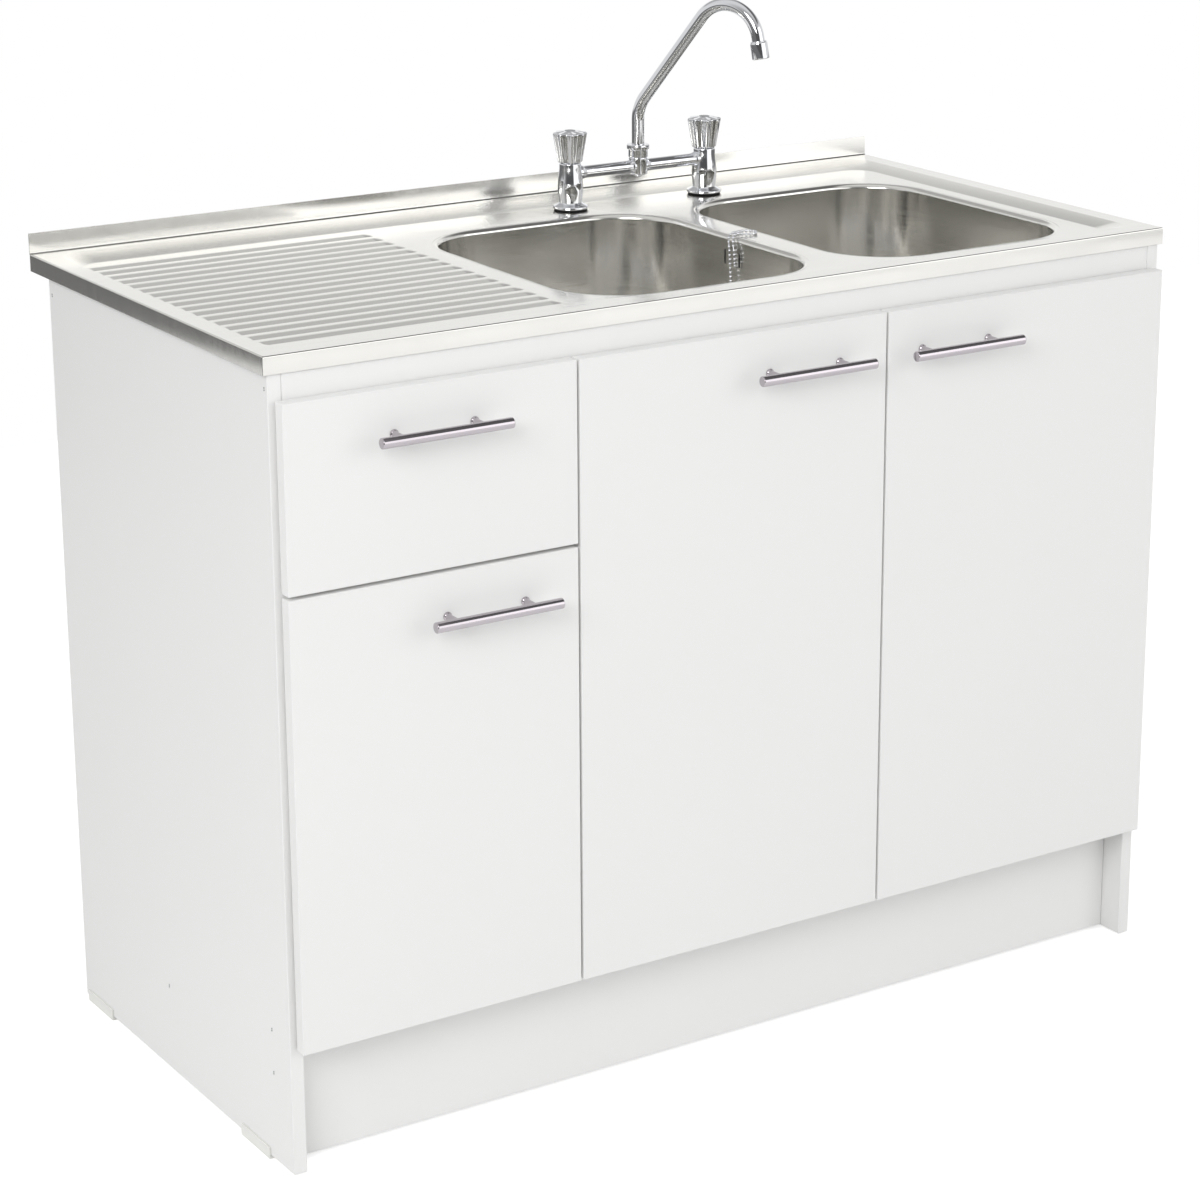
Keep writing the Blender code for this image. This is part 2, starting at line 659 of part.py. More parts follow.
def build_waste(side, bowl_x, frame, chrome, plastic):
    """A dished flange with a cross and a tail, and the nut that holds it under the bowl."""
    centre = (middle(bowl_x), middle(BOWL_Y))
    seat = BOWL_OUTLET_Z + GAP
    profile = (
        (WASTE_BORE, seat - WASTE_LENGTH),
        (WASTE_TAIL, seat - WASTE_LENGTH),
        (WASTE_TAIL, seat),
        (WASTE_FLANGE, seat + GAP),
        (WASTE_FLANGE - WASTE_FLANGE_EDGE, seat + WASTE_FLANGE_THICK),
        (WASTE_TAIL + WASTE_DISH, seat + WASTE_FLANGE_THICK - WASTE_DISH_DROP),
        (WASTE_BORE, seat - WASTE_BAR_DROP),
    )
    body = turned(profile, ROUND_SIDES, centre, closed=True)
    reach = (WASTE_BORE + WASTE_TAIL) / 2
    bar_z = (seat - WASTE_BAR_DROP - 2 * WASTE_BAR, seat - WASTE_BAR_DROP - WASTE_BAR)
    half_bar = WASTE_BAR / 2
    wide = block(
        (centre[0] - reach, centre[0] + reach), (centre[1] - half_bar, centre[1] + half_bar), bar_z
    )
    deep = block(
        (centre[0] - half_bar, centre[0] + half_bar), (centre[1] - reach, centre[1] + reach), bar_z
    )
    make_object(f"waste_{side}", combined(body, [wide, deep], "UNION"), chrome, frame, 30)

    nut_top = BOWL_OUTLET_Z - SHEET - GAP
    nut_bottom = nut_top - WASTE_NUT_HEIGHT
    nut = (
        (WASTE_TAIL + GAP, nut_bottom),
        (WASTE_NUT, nut_bottom),
        (WASTE_NUT, nut_top),
        (WASTE_TAIL + GAP, nut_top),
    )
    make_object(f"waste_nut_{side}", turned(nut, ROUND_SIDES, centre, closed=True), plastic, frame, 30)
    return centre, bar_z[1]


def build_plug(centre, seat, frame, rubber):
    """A tapered plug on the waste's cross, with a post for its chain."""
    base = seat + GAP
    top = base + PLUG_HEIGHT
    profile = (
        (PLUG_BASE, base),
        (PLUG_TOP, top - PLUG_EDGE),
        (PLUG_TOP - PLUG_EDGE, top),
        (PLUG_POST + PLUG_POST_FILLET, top),
        (PLUG_POST, top + PLUG_POST_FILLET),
        (PLUG_POST, top + PLUG_POST_HEIGHT),
    )
    make_object("plug", turned(profile, ROUND_SIDES, centre), rubber, frame, 40)


def build_overflow(frame, bowl, chrome):
    """A slotted cover on the bowl's wall, held by a pipe that passes through the wall."""
    wall = BOWL_LEFT_X[1] - BOWL_WALL_INSET
    centre_y = middle(BOWL_Y)
    centre_z = TRAY_Z - OVERFLOW_BELOW_TRAY
    face_x = wall - GAP - OVERFLOW_THICK
    half_width = OVERFLOW_WIDTH / 2
    half_height = OVERFLOW_HEIGHT / 2
    corner = OVERFLOW_ROUNDING * OVERFLOW_HEIGHT
    outline = rounded_rectangle(
        (centre_y - half_width, centre_y + half_width),
        (centre_z - half_height, centre_z + half_height),
        corner,
        0.0,
        CORNER_STEPS,
    )
    plate = extruded(outline, (face_x, wall - GAP), along_x)
    pipe_end = wall + SHEET + OVERFLOW_PIPE_LENGTH
    ring = [point.xy for point in circle(OVERFLOW_PIPE, 0.0, SMALL_SIDES, (centre_y, centre_z))]
    pipe = extruded(ring, (face_x + OVERFLOW_THICK / 2, pipe_end), along_x)
    slot_z = (centre_z - OVERFLOW_SLOT / 2, centre_z + OVERFLOW_SLOT / 2)
    slot_reach = face_x + OVERFLOW_THICK + 2 * OVERFLOW_SLOT
    slot_y = (centre_y - OVERFLOW_PIPE / 2, centre_y + OVERFLOW_PIPE / 2)
    slot = block((face_x - OVERFLOW_THICK, slot_reach), slot_y, slot_z)
    cover = combined(combined(plate, [pipe], "UNION"), [slot], "DIFFERENCE")
    make_object("overflow_cover", cover, chrome, frame, 30)

    hole = [point.xy for point in circle(OVERFLOW_PIPE + GAP, 0.0, SMALL_SIDES, (centre_y, centre_z))]
    drill(bowl, extruded(hole, (face_x, pipe_end), along_x))


def smooth_route(points, spacing):
    """Even steps along a smooth curve through the route's own points."""
    samples = []
    padded = [points[0] * 2 - points[1], *points, points[-1] * 2 - points[-2]]
    for before, start, end, after in zip(padded, padded[1:], padded[2:], padded[3:]):
        for step in range(ROUTE_STEPS):
            share = step / ROUTE_STEPS
            bend = before * -1 + start * 3 - end * 3 + after
            lean = before * 2 - start * 5 + end * 4 - after
            samples.append(start + (end - before) * 0.5 * share + (lean * share**2 + bend * share**3) * 0.5)
    samples.append(points[-1])
    lengths = [0.0]
    for here, there in zip(samples, samples[1:]):
        lengths.append(lengths[-1] + (there - here).length)
    count = max(2, round(lengths[-1] / spacing))
    route = []
    index = 0
    for number in range(count + 1):
        target = lengths[-1] * number / count
        while index < len(samples) - 2 and lengths[index + 1] < target:
            index += 1
        share = (target - lengths[index]) / (lengths[index + 1] - lengths[index])
        route.append(samples[index].lerp(samples[index + 1], min(1.0, share)))
    return route


# The chain leaves the overflow cover, loops on the strip between the bowls, hangs down the wall and
# lies along the bowl's floor to the plug
CHAIN_ROUTE = (
    (0.1487, 0.2700, 0.8800),
    (0.1445, 0.2700, 0.8800),
    (0.1410, 0.2710, 0.8850),
    (0.1428, 0.2722, 0.8960),
    (0.1448, 0.2732, 0.9070),
    (0.1500, 0.2745, 0.9158),
    (0.1580, 0.2770, 0.9178),
    (0.1680, 0.2810, 0.9164),
    (0.1780, 0.2845, 0.9162),
    (0.1870, 0.2800, 0.9162),
    (0.1890, 0.2700, 0.9162),
    (0.1830, 0.2610, 0.9162),
    (0.1740, 0.2560, 0.9162),
    (0.1660, 0.2530, 0.9164),
    (0.1575, 0.2510, 0.9178),
    (0.1500, 0.2503, 0.9160),
    (0.1452, 0.2500, 0.9080),
    (0.1436, 0.2500, 0.8900),
    (0.1434, 0.2502, 0.8600),
    (0.1430, 0.2504, 0.8300),
    (0.1400, 0.2508, 0.8040),
    (0.1290, 0.2516, 0.7840),
    (0.1100, 0.2530, 0.7716),
    (0.0850, 0.2552, 0.7672),
    (0.0600, 0.2580, 0.7668),
    (0.0400, 0.2600, 0.7680),
    (0.0220, 0.2603, 0.7692),
    (0.0060, 0.2601, 0.7704),
    (-0.0053, 0.2600, 0.7704),
)


def build_chain(frame, chrome):
    """The plug's chain as a tube of its outer diameter."""
    curve = bpy.data.curves.new("plug_chain", "CURVE")
    curve.dimensions = "3D"
    curve.bevel_depth = CHAIN_DIAMETER / 2
    curve.bevel_resolution = 2
    curve.use_fill_caps = True
    route = smooth_route([Vector(point) for point in CHAIN_ROUTE], CHAIN_STEP * CHAIN_DIAMETER)
    spline = curve.splines.new("POLY")
    spline.points.add(len(route) - 1)
    for point, place in zip(spline.points, route):
        point.co = (*place, 1.0)
    curve.materials.append(chrome)
    chain = bpy.data.objects.new("plug_chain", curve)
    bpy.context.scene.collection.objects.link(chain)
    chain.parent = frame


def pillar_profile():
    """Radius and height of one tap pillar, from the tip of its tail to the top of its spindle."""
    top = FLANGE_Z + PILLAR_HEIGHT
    return (
        (TAIL_RADIUS, TRAY_Z - SHEET - TAIL_LENGTH),
        (TAIL_RADIUS, FLANGE_Z),
        (FLANGE_RADIUS, FLANGE_Z),
        (FLANGE_RADIUS, FLANGE_Z + FLANGE_RIM),
        (FLANGE_RADIUS - FLANGE_EDGE, FLANGE_Z + FLANGE_RIM + FLANGE_EDGE),
        (PILLAR_BASE_RADIUS + FLANGE_FILLET, FLANGE_Z + FLANGE_THICK),
        (PILLAR_BASE_RADIUS, FLANGE_Z + FLANGE_THICK + FLANGE_FILLET),
        (PILLAR_RADIUS, FLANGE_Z + PILLAR_BULGE_HEIGHT),
        (PILLAR_RADIUS, top - BONNET_HEIGHT - BONNET_CHAMFER),
        (BONNET_RADIUS, top - BONNET_HEIGHT),
        (BONNET_RADIUS, top),
        (SPINDLE_RADIUS, top),
        (SPINDLE_RADIUS, top + SPINDLE_HEIGHT),
    )


def build_mixer(frame, chrome, rubber, brass):
    """The two pillars, the bridge and the hub in one casting, with gaskets and back nuts."""
    pillars = [turned(pillar_profile(), ROUND_SIDES, (tap_x, MIXER_Y)) for tap_x in TAP_X]
    bridge_z = FLANGE_Z + BRIDGE_HEIGHT
    flare = PILLAR_RADIUS + BRIDGE_FLARE_LENGTH
    rings = []
    for x, radius in (
        (TAP_X[0], BRIDGE_FLARE),
        (TAP_X[0] + PILLAR_RADIUS, BRIDGE_FLARE),
        (TAP_X[0] + flare, BRIDGE_RADIUS),
        (MIXER_CENTRE - HUB_RADIUS - BRIDGE_FLARE_LENGTH, BRIDGE_RADIUS),
        (MIXER_CENTRE, BRIDGE_FLARE),
        (MIXER_CENTRE + HUB_RADIUS + BRIDGE_FLARE_LENGTH, BRIDGE_RADIUS),
        (TAP_X[1] - flare, BRIDGE_RADIUS),
        (TAP_X[1] - PILLAR_RADIUS, BRIDGE_FLARE),
        (TAP_X[1], BRIDGE_FLARE),
    ):
        ring = circle(radius, 0.0, SMALL_SIDES)
        rings.append([Vector((x, MIXER_Y + point.x, bridge_z + point.y)) for point in ring])
    hub = turned(
        (
            (HUB_FOOT_RADIUS, bridge_z - BRIDGE_FLARE - HUB_FOOT_DROP),
            (HUB_RADIUS - HUB_FOOT_DROP, bridge_z - BRIDGE_FLARE),
            (HUB_RADIUS, bridge_z - BRIDGE_FLARE + HUB_FOOT_DROP),
            (HUB_RADIUS, HUB_TOP),
        ),
        ROUND_SIDES,
        (MIXER_CENTRE, MIXER_Y),
    )
    body = combined(pillars[0], [pillars[1], loft(rings), hub], "UNION")
    make_object("mixer_body", body, chrome, frame, 35)

    for side, tap_x in zip(("left", "right"), TAP_X):
        bore = TAIL_RADIUS + GAP
        gasket_z = TRAY_Z + GAP
        gasket = (
            (bore, gasket_z),
            (GASKET_RADIUS, gasket_z),
            (GASKET_RADIUS, gasket_z + GASKET_THICK),
            (bore, gasket_z + GASKET_THICK),
        )
        ring = turned(gasket, ROUND_SIDES, (tap_x, MIXER_Y), closed=True)
        make_object(f"gasket_{side}", ring, rubber, frame, 30)
        nut_z = TRAY_UNDERSIDE
        hexagon = circle(BACK_NUT, nut_z, BACK_NUT_FLATS, (tap_x, MIXER_Y))
        hole = circle(bore, nut_z, ROUND_SIDES, (tap_x, MIXER_Y))
        body = extruded([point.xy for point in hexagon], (nut_z - BACK_NUT_HEIGHT, nut_z), along_z)
        cut = extruded(
            [point.xy for point in hole], (nut_z - 2 * BACK_NUT_HEIGHT, nut_z + BACK_NUT_HEIGHT), along_z
        )
        make_object(f"back_nut_{side}", combined(body, [cut], "DIFFERENCE"), brass, frame, 30)


def fluted_ring(radius, depth, z, centre):
    """A circle drawn in at evenly spaced flutes."""
    points = []
    sides = KNOB_FLUTES * FLUTE_STEPS
    for step in range(sides):
        angle = 2 * math.pi * step / sides
        wave = (1 + math.cos(KNOB_FLUTES * angle)) / 2
        reach = radius - depth * wave**KNOB_FLUTE_POWER
        points.append(Vector((centre[0] + reach * math.cos(angle), centre[1] + reach * math.sin(angle), z)))
    return points


def build_knob(name, tap_x, frame, chrome):
    """A tapered, fluted knob with a bore for the spindle."""
    centre = (tap_x, MIXER_Y)
    bore = SPINDLE_RADIUS + GAP
    bore_top = KNOB_Z + SPINDLE_HEIGHT + GAP
    shoulder = KNOB_HEIGHT - KNOB_CROWN_HEIGHT
    rings = [fluted_ring(bore, 0.0, bore_top, centre), fluted_ring(bore, 0.0, KNOB_Z, centre)]
    for step in range(KNOB_STEPS + 1):
        share = step / KNOB_STEPS
        radius = KNOB_BASE_RADIUS + (KNOB_TOP_RADIUS - KNOB_BASE_RADIUS) * share
        depth = KNOB_FLUTE_FOOT_DEPTH + (KNOB_FLUTE_DEPTH - KNOB_FLUTE_FOOT_DEPTH) * share
        rings.append(fluted_ring(radius, depth, KNOB_Z + share * shoulder, centre))
    edge_z = KNOB_Z + shoulder + KNOB_CROWN_HEIGHT / 2
    rings.append(fluted_ring(KNOB_TOP_RADIUS - KNOB_EDGE, KNOB_FLUTE_FOOT_DEPTH, edge_z, centre))
    rings.append(fluted_ring(KNOB_INDEX_RADIUS, 0.0, KNOB_Z + KNOB_HEIGHT, centre))
    make_object(name, loft(rings), chrome, frame, 35)


def spout_path():
    """Reach, height and heading along the spout's middle line, in its own upright plane."""
    reach = 0.0
    height = HUB_TOP + GAP
    heading = math.pi / 2
    path = [(reach, height, heading)]
    runs = (
        ("straight", SPOUT_RISE, 0.0, 1),
        ("bend", SPOUT_ELBOW_RADIUS, SPOUT_ELBOW_TURN, ELBOW_STEPS),
        ("straight", SPOUT_RUN, 0.0, 1),
        ("bend", SPOUT_ARCH_RADIUS, SPOUT_ARCH_TURN, ARCH_STEPS),
        ("straight", SPOUT_END, 0.0, 1),
    )
    for kind, size, turn, steps in runs:
        for _ in range(steps):
            if kind == "bend":
                step = math.radians(turn) / steps
                chord = 2 * size * math.sin(step / 2)
            else:
                step = 0.0
                chord = size
            reach += chord * math.cos(heading - step / 2)
            height += chord * math.sin(heading - step / 2)
            heading -= step
            path.append((reach, height, heading))
    return path


def spout_place(reach, height, side):
    """A point in the spout's own plane, or beside it, turned to its heading at rest."""
    turn = Matrix.Rotation(math.radians(SPOUT_HEADING), 3, "Z")
    return turn @ Vector((side, -reach, 0.0)) + Vector((MIXER_CENTRE, MIXER_Y, height))


def spout_ring(station, radius, sides, ahead=0.0):
    """A circle square to the spout's middle line, moved ahead along it."""
    reach, height, heading = station
    reach += ahead * math.cos(heading)
    height += ahead * math.sin(heading)
    points = []
    for step in range(sides):
        angle = 2 * math.pi * step / sides
        out = radius * math.cos(angle)
        points.append(
            spout_place(
                reach + out * math.sin(heading), height - out * math.cos(heading), radius * math.sin(angle)
            )
        )
    return points


def build_spout(fixed, frame, chrome):
    """The bent tube with a collar, the union nut that keeps the collar down, and the aerator."""
    path = spout_path()
    rings = [
        spout_ring(path[0], SPOUT_COLLAR, SMALL_SIDES),
        spout_ring(path[0], SPOUT_COLLAR, SMALL_SIDES, SPOUT_COLLAR_HEIGHT),
        spout_ring(path[0], SPOUT_RADIUS, SMALL_SIDES, SPOUT_COLLAR_HEIGHT),
    ]
    for station in path[1:]:
        rings.append(spout_ring(station, SPOUT_RADIUS, SMALL_SIDES))
    make_object("spout", loft(rings), chrome, frame, 40)

    lip_z = HUB_TOP + SPOUT_COLLAR_HEIGHT + 2 * GAP
    skirt_bottom = HUB_TOP - UNION_NUT_SKIRT
    nut_top = skirt_bottom + UNION_NUT_HEIGHT
    nut = (
        (HUB_RADIUS + GAP, skirt_bottom),
        (UNION_NUT_RADIUS, skirt_bottom),
        (UNION_NUT_RADIUS, nut_top - UNION_NUT_FLANGE_HEIGHT - UNION_NUT_EDGE),
        (UNION_NUT_FLANGE, nut_top - UNION_NUT_FLANGE_HEIGHT),
        (UNION_NUT_FLANGE, nut_top - UNION_NUT_EDGE),
        (UNION_NUT_FLANGE - UNION_NUT_EDGE, nut_top),
        (SPOUT_RADIUS + GAP, nut_top),
        (SPOUT_RADIUS + GAP, lip_z),
        (HUB_RADIUS + GAP, lip_z),
    )
    solid = turned(nut, ROUND_SIDES, (MIXER_CENTRE, MIXER_Y), closed=True)
    make_object("spout_nut", solid, chrome, fixed, 30)

    end = path[-1]
    overlap = SPOUT_END
    sleeve = SPOUT_RADIUS + GAP
    profile = (
        (sleeve, -overlap),
        (AERATOR_RADIUS - AERATOR_EDGE, -overlap),
        (AERATOR_RADIUS, AERATOR_EDGE - overlap),
        (AERATOR_RADIUS, AERATOR_LENGTH - AERATOR_EDGE - overlap),
        (AERATOR_RADIUS - AERATOR_EDGE, AERATOR_LENGTH - overlap),
        (AERATOR_BORE, AERATOR_LENGTH - overlap),
        (AERATOR_BORE, AERATOR_LENGTH - overlap - AERATOR_RECESS),
    )
    rings = [spout_ring(end, radius, ROUND_SIDES, ahead) for radius, ahead in profile]
    inner = [
        spout_ring(end, AERATOR_OUTLET, ROUND_SIDES, AERATOR_LENGTH - overlap - AERATOR_RECESS),
        spout_ring(end, AERATOR_OUTLET, ROUND_SIDES, GAP),
        spout_ring(end, sleeve, ROUND_SIDES, GAP),
    ]
    make_object("aerator", loft(rings + inner, closed=True), chrome, frame, 35)


def build_handle(name, centre_x, centre_z, frame, chrome):
    """A round bar on two posts."""
    bar_y = FRONT_FACE - HANDLE_STANDOFF
    half = HANDLE_LENGTH / 2
    rings = []
    for x, radius in (
        (centre_x - half, HANDLE_RADIUS - HANDLE_CHAMFER),
        (centre_x - half + HANDLE_CHAMFER, HANDLE_RADIUS),
        (centre_x + half - HANDLE_CHAMFER, HANDLE_RADIUS),
        (centre_x + half, HANDLE_RADIUS - HANDLE_CHAMFER),
    ):
        ring = circle(radius, 0.0, SMALL_SIDES)
        rings.append([Vector((x, bar_y + point.x, centre_z + point.y)) for point in ring])
    posts = []
    for post_x in (centre_x - HANDLE_POSTS / 2, centre_x + HANDLE_POSTS / 2):
        ring = [point.xy for point in circle(HANDLE_POST_RADIUS, 0.0, SMALL_SIDES, (post_x, centre_z))]
        posts.append(extruded(ring, (bar_y, FRONT_FACE - GAP), along_y))
    make_object(name, combined(loft(rings), posts, "UNION"), chrome, frame, 35)


def build_drawer(carcass, frame, melamine, panel, plastic, chrome):
    """The drawer's front, grooved sides, back and bottom, and the strips that it slides on."""
    board("drawer_front", LEFT_FRONT_X, (FRONT_FACE, 0.0), DRAWER_FRONT_Z, melamine, frame)
    build_handle("drawer_handle", middle(LEFT_FRONT_X), FRONT_TOP - HANDLE_DROP, frame, chrome)

    bay = (-SIDE_IN, PARTITION_LEFT)
    outside = shrink(bay, DRAWER_SIDE_PLAY)
    bottom = DRAWER_FRONT_Z[0] + DRAWER_BOTTOM_LIFT
    top = bottom + DRAWER_SIDE_HEIGHT
    strip_z = (bottom + RUNNER_LIFT, bottom + RUNNER_LIFT + RUNNER_HEIGHT)
    groove_z = (strip_z[0] - GAP, strip_z[1] + GAP)
    panel_z = (bottom + DRAWER_PANEL_LIFT, bottom + DRAWER_PANEL_LIFT + DRAWER_PANEL)
    slot_z = (panel_z[0] - GAP, panel_z[1] + GAP)
    length = (GAP, DRAWER_LENGTH)
    for side, outer, inward in (("left", outside[0], 1), ("right", outside[1], -1)):
        inner = outer + inward * DRAWER_SIDE_THICK
        groove = outer + inward * (RUNNER_DEPTH - DRAWER_SIDE_PLAY + GAP)
        slot = inner - inward * DRAWER_PANEL_GROOVE
        outline = (
            (outer, bottom),
            (outer, groove_z[0]),
            (groove, groove_z[0]),
            (groove, groove_z[1]),
            (outer, groove_z[1]),
            (outer, top),
            (inner, top),
            (inner, slot_z[1]),
            (slot, slot_z[1]),
            (slot, slot_z[0]),
            (inner, slot_z[0]),
            (inner, bottom),
        )
        make_object(f"drawer_side_{side}", extruded(outline, length, along_y), melamine, frame)
        wall = outer - inward * DRAWER_SIDE_PLAY
        strip_x = sorted((wall + inward * GAP, wall + inward * RUNNER_DEPTH))
        start = CARCASS_FRONT + RUNNER_SETBACK
        board(f"drawer_runner_{side}", strip_x, (start, start + RUNNER_LENGTH), strip_z, plastic, carcass)

    inside = shrink(outside, DRAWER_SIDE_THICK)
    back_y = (DRAWER_LENGTH - DRAWER_SIDE_THICK, DRAWER_LENGTH)
    board("drawer_back", shrink(inside, GAP), back_y, (panel_z[1] + GAP, top), melamine, frame)
    panel_x = shrink(inside, GAP - DRAWER_PANEL_GROOVE)
    make_object("drawer_bottom", block(panel_x, length, panel_z), panel, frame)


def build_hinge(name, edge_x, panel_x, inward, z, door, carcass, door_frame, steel):
    """A cup let into the door's back and an arm on the carcass whose tip rests in it."""
    cup_x = edge_x + inward * CUP_EDGE_DISTANCE
    wing_back = GAP + CUP_WING_THICK
    profile = (
        (CUP_RADIUS - CUP_WALL, wing_back),
        (CUP_RADIUS + CUP_WALL, wing_back),
        (CUP_RADIUS + CUP_WALL, GAP),
        (CUP_RADIUS, GAP),
        (CUP_RADIUS, -CUP_DEPTH),
        (CUP_FLOOR_HOLE, -CUP_DEPTH),
        (CUP_FLOOR_HOLE, CUP_WALL - CUP_DEPTH),
        (CUP_RADIUS - CUP_WALL, CUP_WALL - CUP_DEPTH),
    )
    rings = []
    for radius, y in profile:
        ring = circle(radius, 0.0, HINGE_SIDES, (cup_x, z))
        rings.append([Vector((point.x, y, point.y)) for point in ring])
    cup = loft(rings, closed=True)
    ears = []
    for end in (-1, 1):
        ear_z = sorted((z + end * (CUP_RADIUS - CUP_WALL / 2), z + end * CUP_WING_LENGTH / 2))
        ear_x = (cup_x - CUP_WING_WIDTH / 2, cup_x + CUP_WING_WIDTH / 2)
        ears.append(block(ear_x, (GAP, wing_back), ear_z))
    make_object(f"{name}_cup", combined(cup, ears, "UNION"), steel, door_frame, 30)

    bore = [point.xy for point in circle(CUP_RADIUS + GAP, 0.0, HINGE_SIDES, (cup_x, z))]
    drill(door, extruded(bore, (-CUP_DEPTH - GAP, BOARD), along_y))

    tip_y = CUP_WALL - CUP_DEPTH + GAP
    tip = inward * (cup_x - panel_x) + ARM_TIP_OFFSET
    near = tip - ARM_TIP_WIDTH / 2
    far = tip + ARM_TIP_WIDTH / 2
    arm = (
        (GAP, ARM_BODY_START),
        (GAP, ARM_LENGTH),
        (ARM_TAIL_HEIGHT, ARM_LENGTH),
        (ARM_HEIGHT, ARM_LENGTH - ARM_TAIL_SLOPE),
        (ARM_HEIGHT, ARM_BODY_START),
        (far, ARM_NECK_FAR),
        (far, tip_y),
        (near, tip_y),
        (near, ARM_NECK_NEAR),
    )
    outline = [(panel_x + inward * away, y) for away, y in arm]
    solid = extruded(outline, (z - ARM_WIDTH / 2, z + ARM_WIDTH / 2), along_z)
    plate_x = sorted((panel_x + inward * GAP, panel_x + inward * (GAP + ARM_PLATE_THICK)))
    plate_y = (ARM_PLATE_START, ARM_PLATE_START + ARM_PLATE_DEPTH)
    plate = block(plate_x, plate_y, (z - ARM_PLATE_LENGTH / 2, z + ARM_PLATE_LENGTH / 2))
    make_object(f"{name}_arm", combined(solid, [plate], "UNION"), steel, carcass)


def build_door(name, x, z, hinge_side, panel_x, handle_x, root, melamine, chrome, steel):
    """A door with a bar handle, on two cup hinges. It swings about the front corner of its hinge edge."""
    edge_x = x[0] if hinge_side == "left" else x[1]
    inward = 1 if hinge_side == "left" else -1
    frame = make_frame(f"{name}_axis", (edge_x, FRONT_FACE, middle(z)), root)
    door = board(name, x, (FRONT_FACE, 0.0), z, melamine, frame)
    build_handle(f"{name}_handle", handle_x, z[1] - HANDLE_DROP, frame, chrome)
    for place, hinge_z in (("lower", z[0] + HINGE_END_DISTANCE), ("upper", z[1] - HINGE_END_DISTANCE)):
        build_hinge(f"{name}_{place}_hinge", edge_x, panel_x, inward, hinge_z, door, root, frame, steel)


def main():
    for obj in list(bpy.data.objects):
        bpy.data.objects.remove(obj)

    melamine = make_material("white_melamine", (0.84, 0.84, 0.84), 0.35)
    hardboard = make_material("white_hardboard", (0.80, 0.80, 0.78), 0.5)
    steel = make_material("brushed_stainless_steel", (0.62, 0.61, 0.59), 0.3, 1.0)
    chrome = make_material("polished_chrome", (0.80, 0.80, 0.82), 0.06, 1.0)
    satin = make_material("satin_nickel", (0.66, 0.64, 0.66), 0.25, 1.0)
    zinc = make_material("zinc_plated_steel", (0.60, 0.60, 0.58), 0.35, 1.0)
    brass = make_material("brass", (0.72, 0.55, 0.28), 0.35, 1.0)
    rubber = make_material("black_rubber", (0.03, 0.03, 0.03), 0.7)
    plastic = make_material("white_plastic", (0.80, 0.80, 0.80), 0.45)

    cabinet = make_frame("cabinet", (0.0, -ORIGIN_Y, 0.0), None)
    build_carcass(cabinet, melamine)
    build_glides(cabinet, plastic)

    build_sink_deck(cabinet, steel)
    left_bowl = build_bowl("sink_bowl_left", BOWL_LEFT_X, cabinet, steel)
    build_bowl("sink_bowl_right", BOWL_RIGHT_X, cabinet, steel)
    plug_centre, plug_seat = build_waste("left", BOWL_LEFT_X, cabinet, chrome, plastic)
    build_waste("right", BOWL_RIGHT_X, cabinet, chrome, plastic)
    build_plug(plug_centre, plug_seat, cabinet, rubber)
    build_overflow(cabinet, left_bowl, chrome)
    build_chain(cabinet, chrome)

    build_mixer(cabinet, chrome, rubber, brass)
    for side, tap_x in zip(("left", "right"), TAP_X):
        knob_frame = make_frame(f"knob_{side}_axis", (tap_x, MIXER_Y, KNOB_Z), cabinet)
        build_knob(f"knob_{side}", tap_x, knob_frame, chrome)
    spout_frame = make_frame("spout_axis", (MIXER_CENTRE, MIXER_Y, HUB_TOP), cabinet)
    build_spout(cabinet, spout_frame, chrome)

    drawer_place = (middle(LEFT_FRONT_X), FRONT_FACE, middle(DRAWER_FRONT_Z))
    drawer_frame = make_frame("drawer_slide", drawer_place, cabinet)
    build_drawer(cabinet, drawer_frame, melamine, hardboard, plastic, satin)

    left_handle = LEFT_FRONT_X[1] - LEFT_HANDLE_MARGIN - HANDLE_LENGTH / 2
    middle_handle = MIDDLE_FRONT_X[1] - MIDDLE_HANDLE_MARGIN - HANDLE_LENGTH / 2
    right_handle = RIGHT_FRONT_X[0] + RIGHT_HANDLE_MARGIN + HANDLE_LENGTH / 2
    for name, x, z, hinge_side, panel_x, handle_x in (
        ("left_door", LEFT_FRONT_X, LEFT_DOOR_Z, "left", -SIDE_IN, left_handle),
        ("middle_door", MIDDLE_FRONT_X, DOOR_Z, "left", PARTITION_RIGHT, middle_handle),
        ("right_door", RIGHT_FRONT_X, DOOR_Z, "right", SIDE_IN, right_handle),
    ):
        build_door(name, x, z, hinge_side, panel_x, handle_x, cabinet, melamine, satin, zinc)


main()
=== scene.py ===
"""Kitchen sink cabinet: the finished look of every part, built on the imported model."""
import json
import math

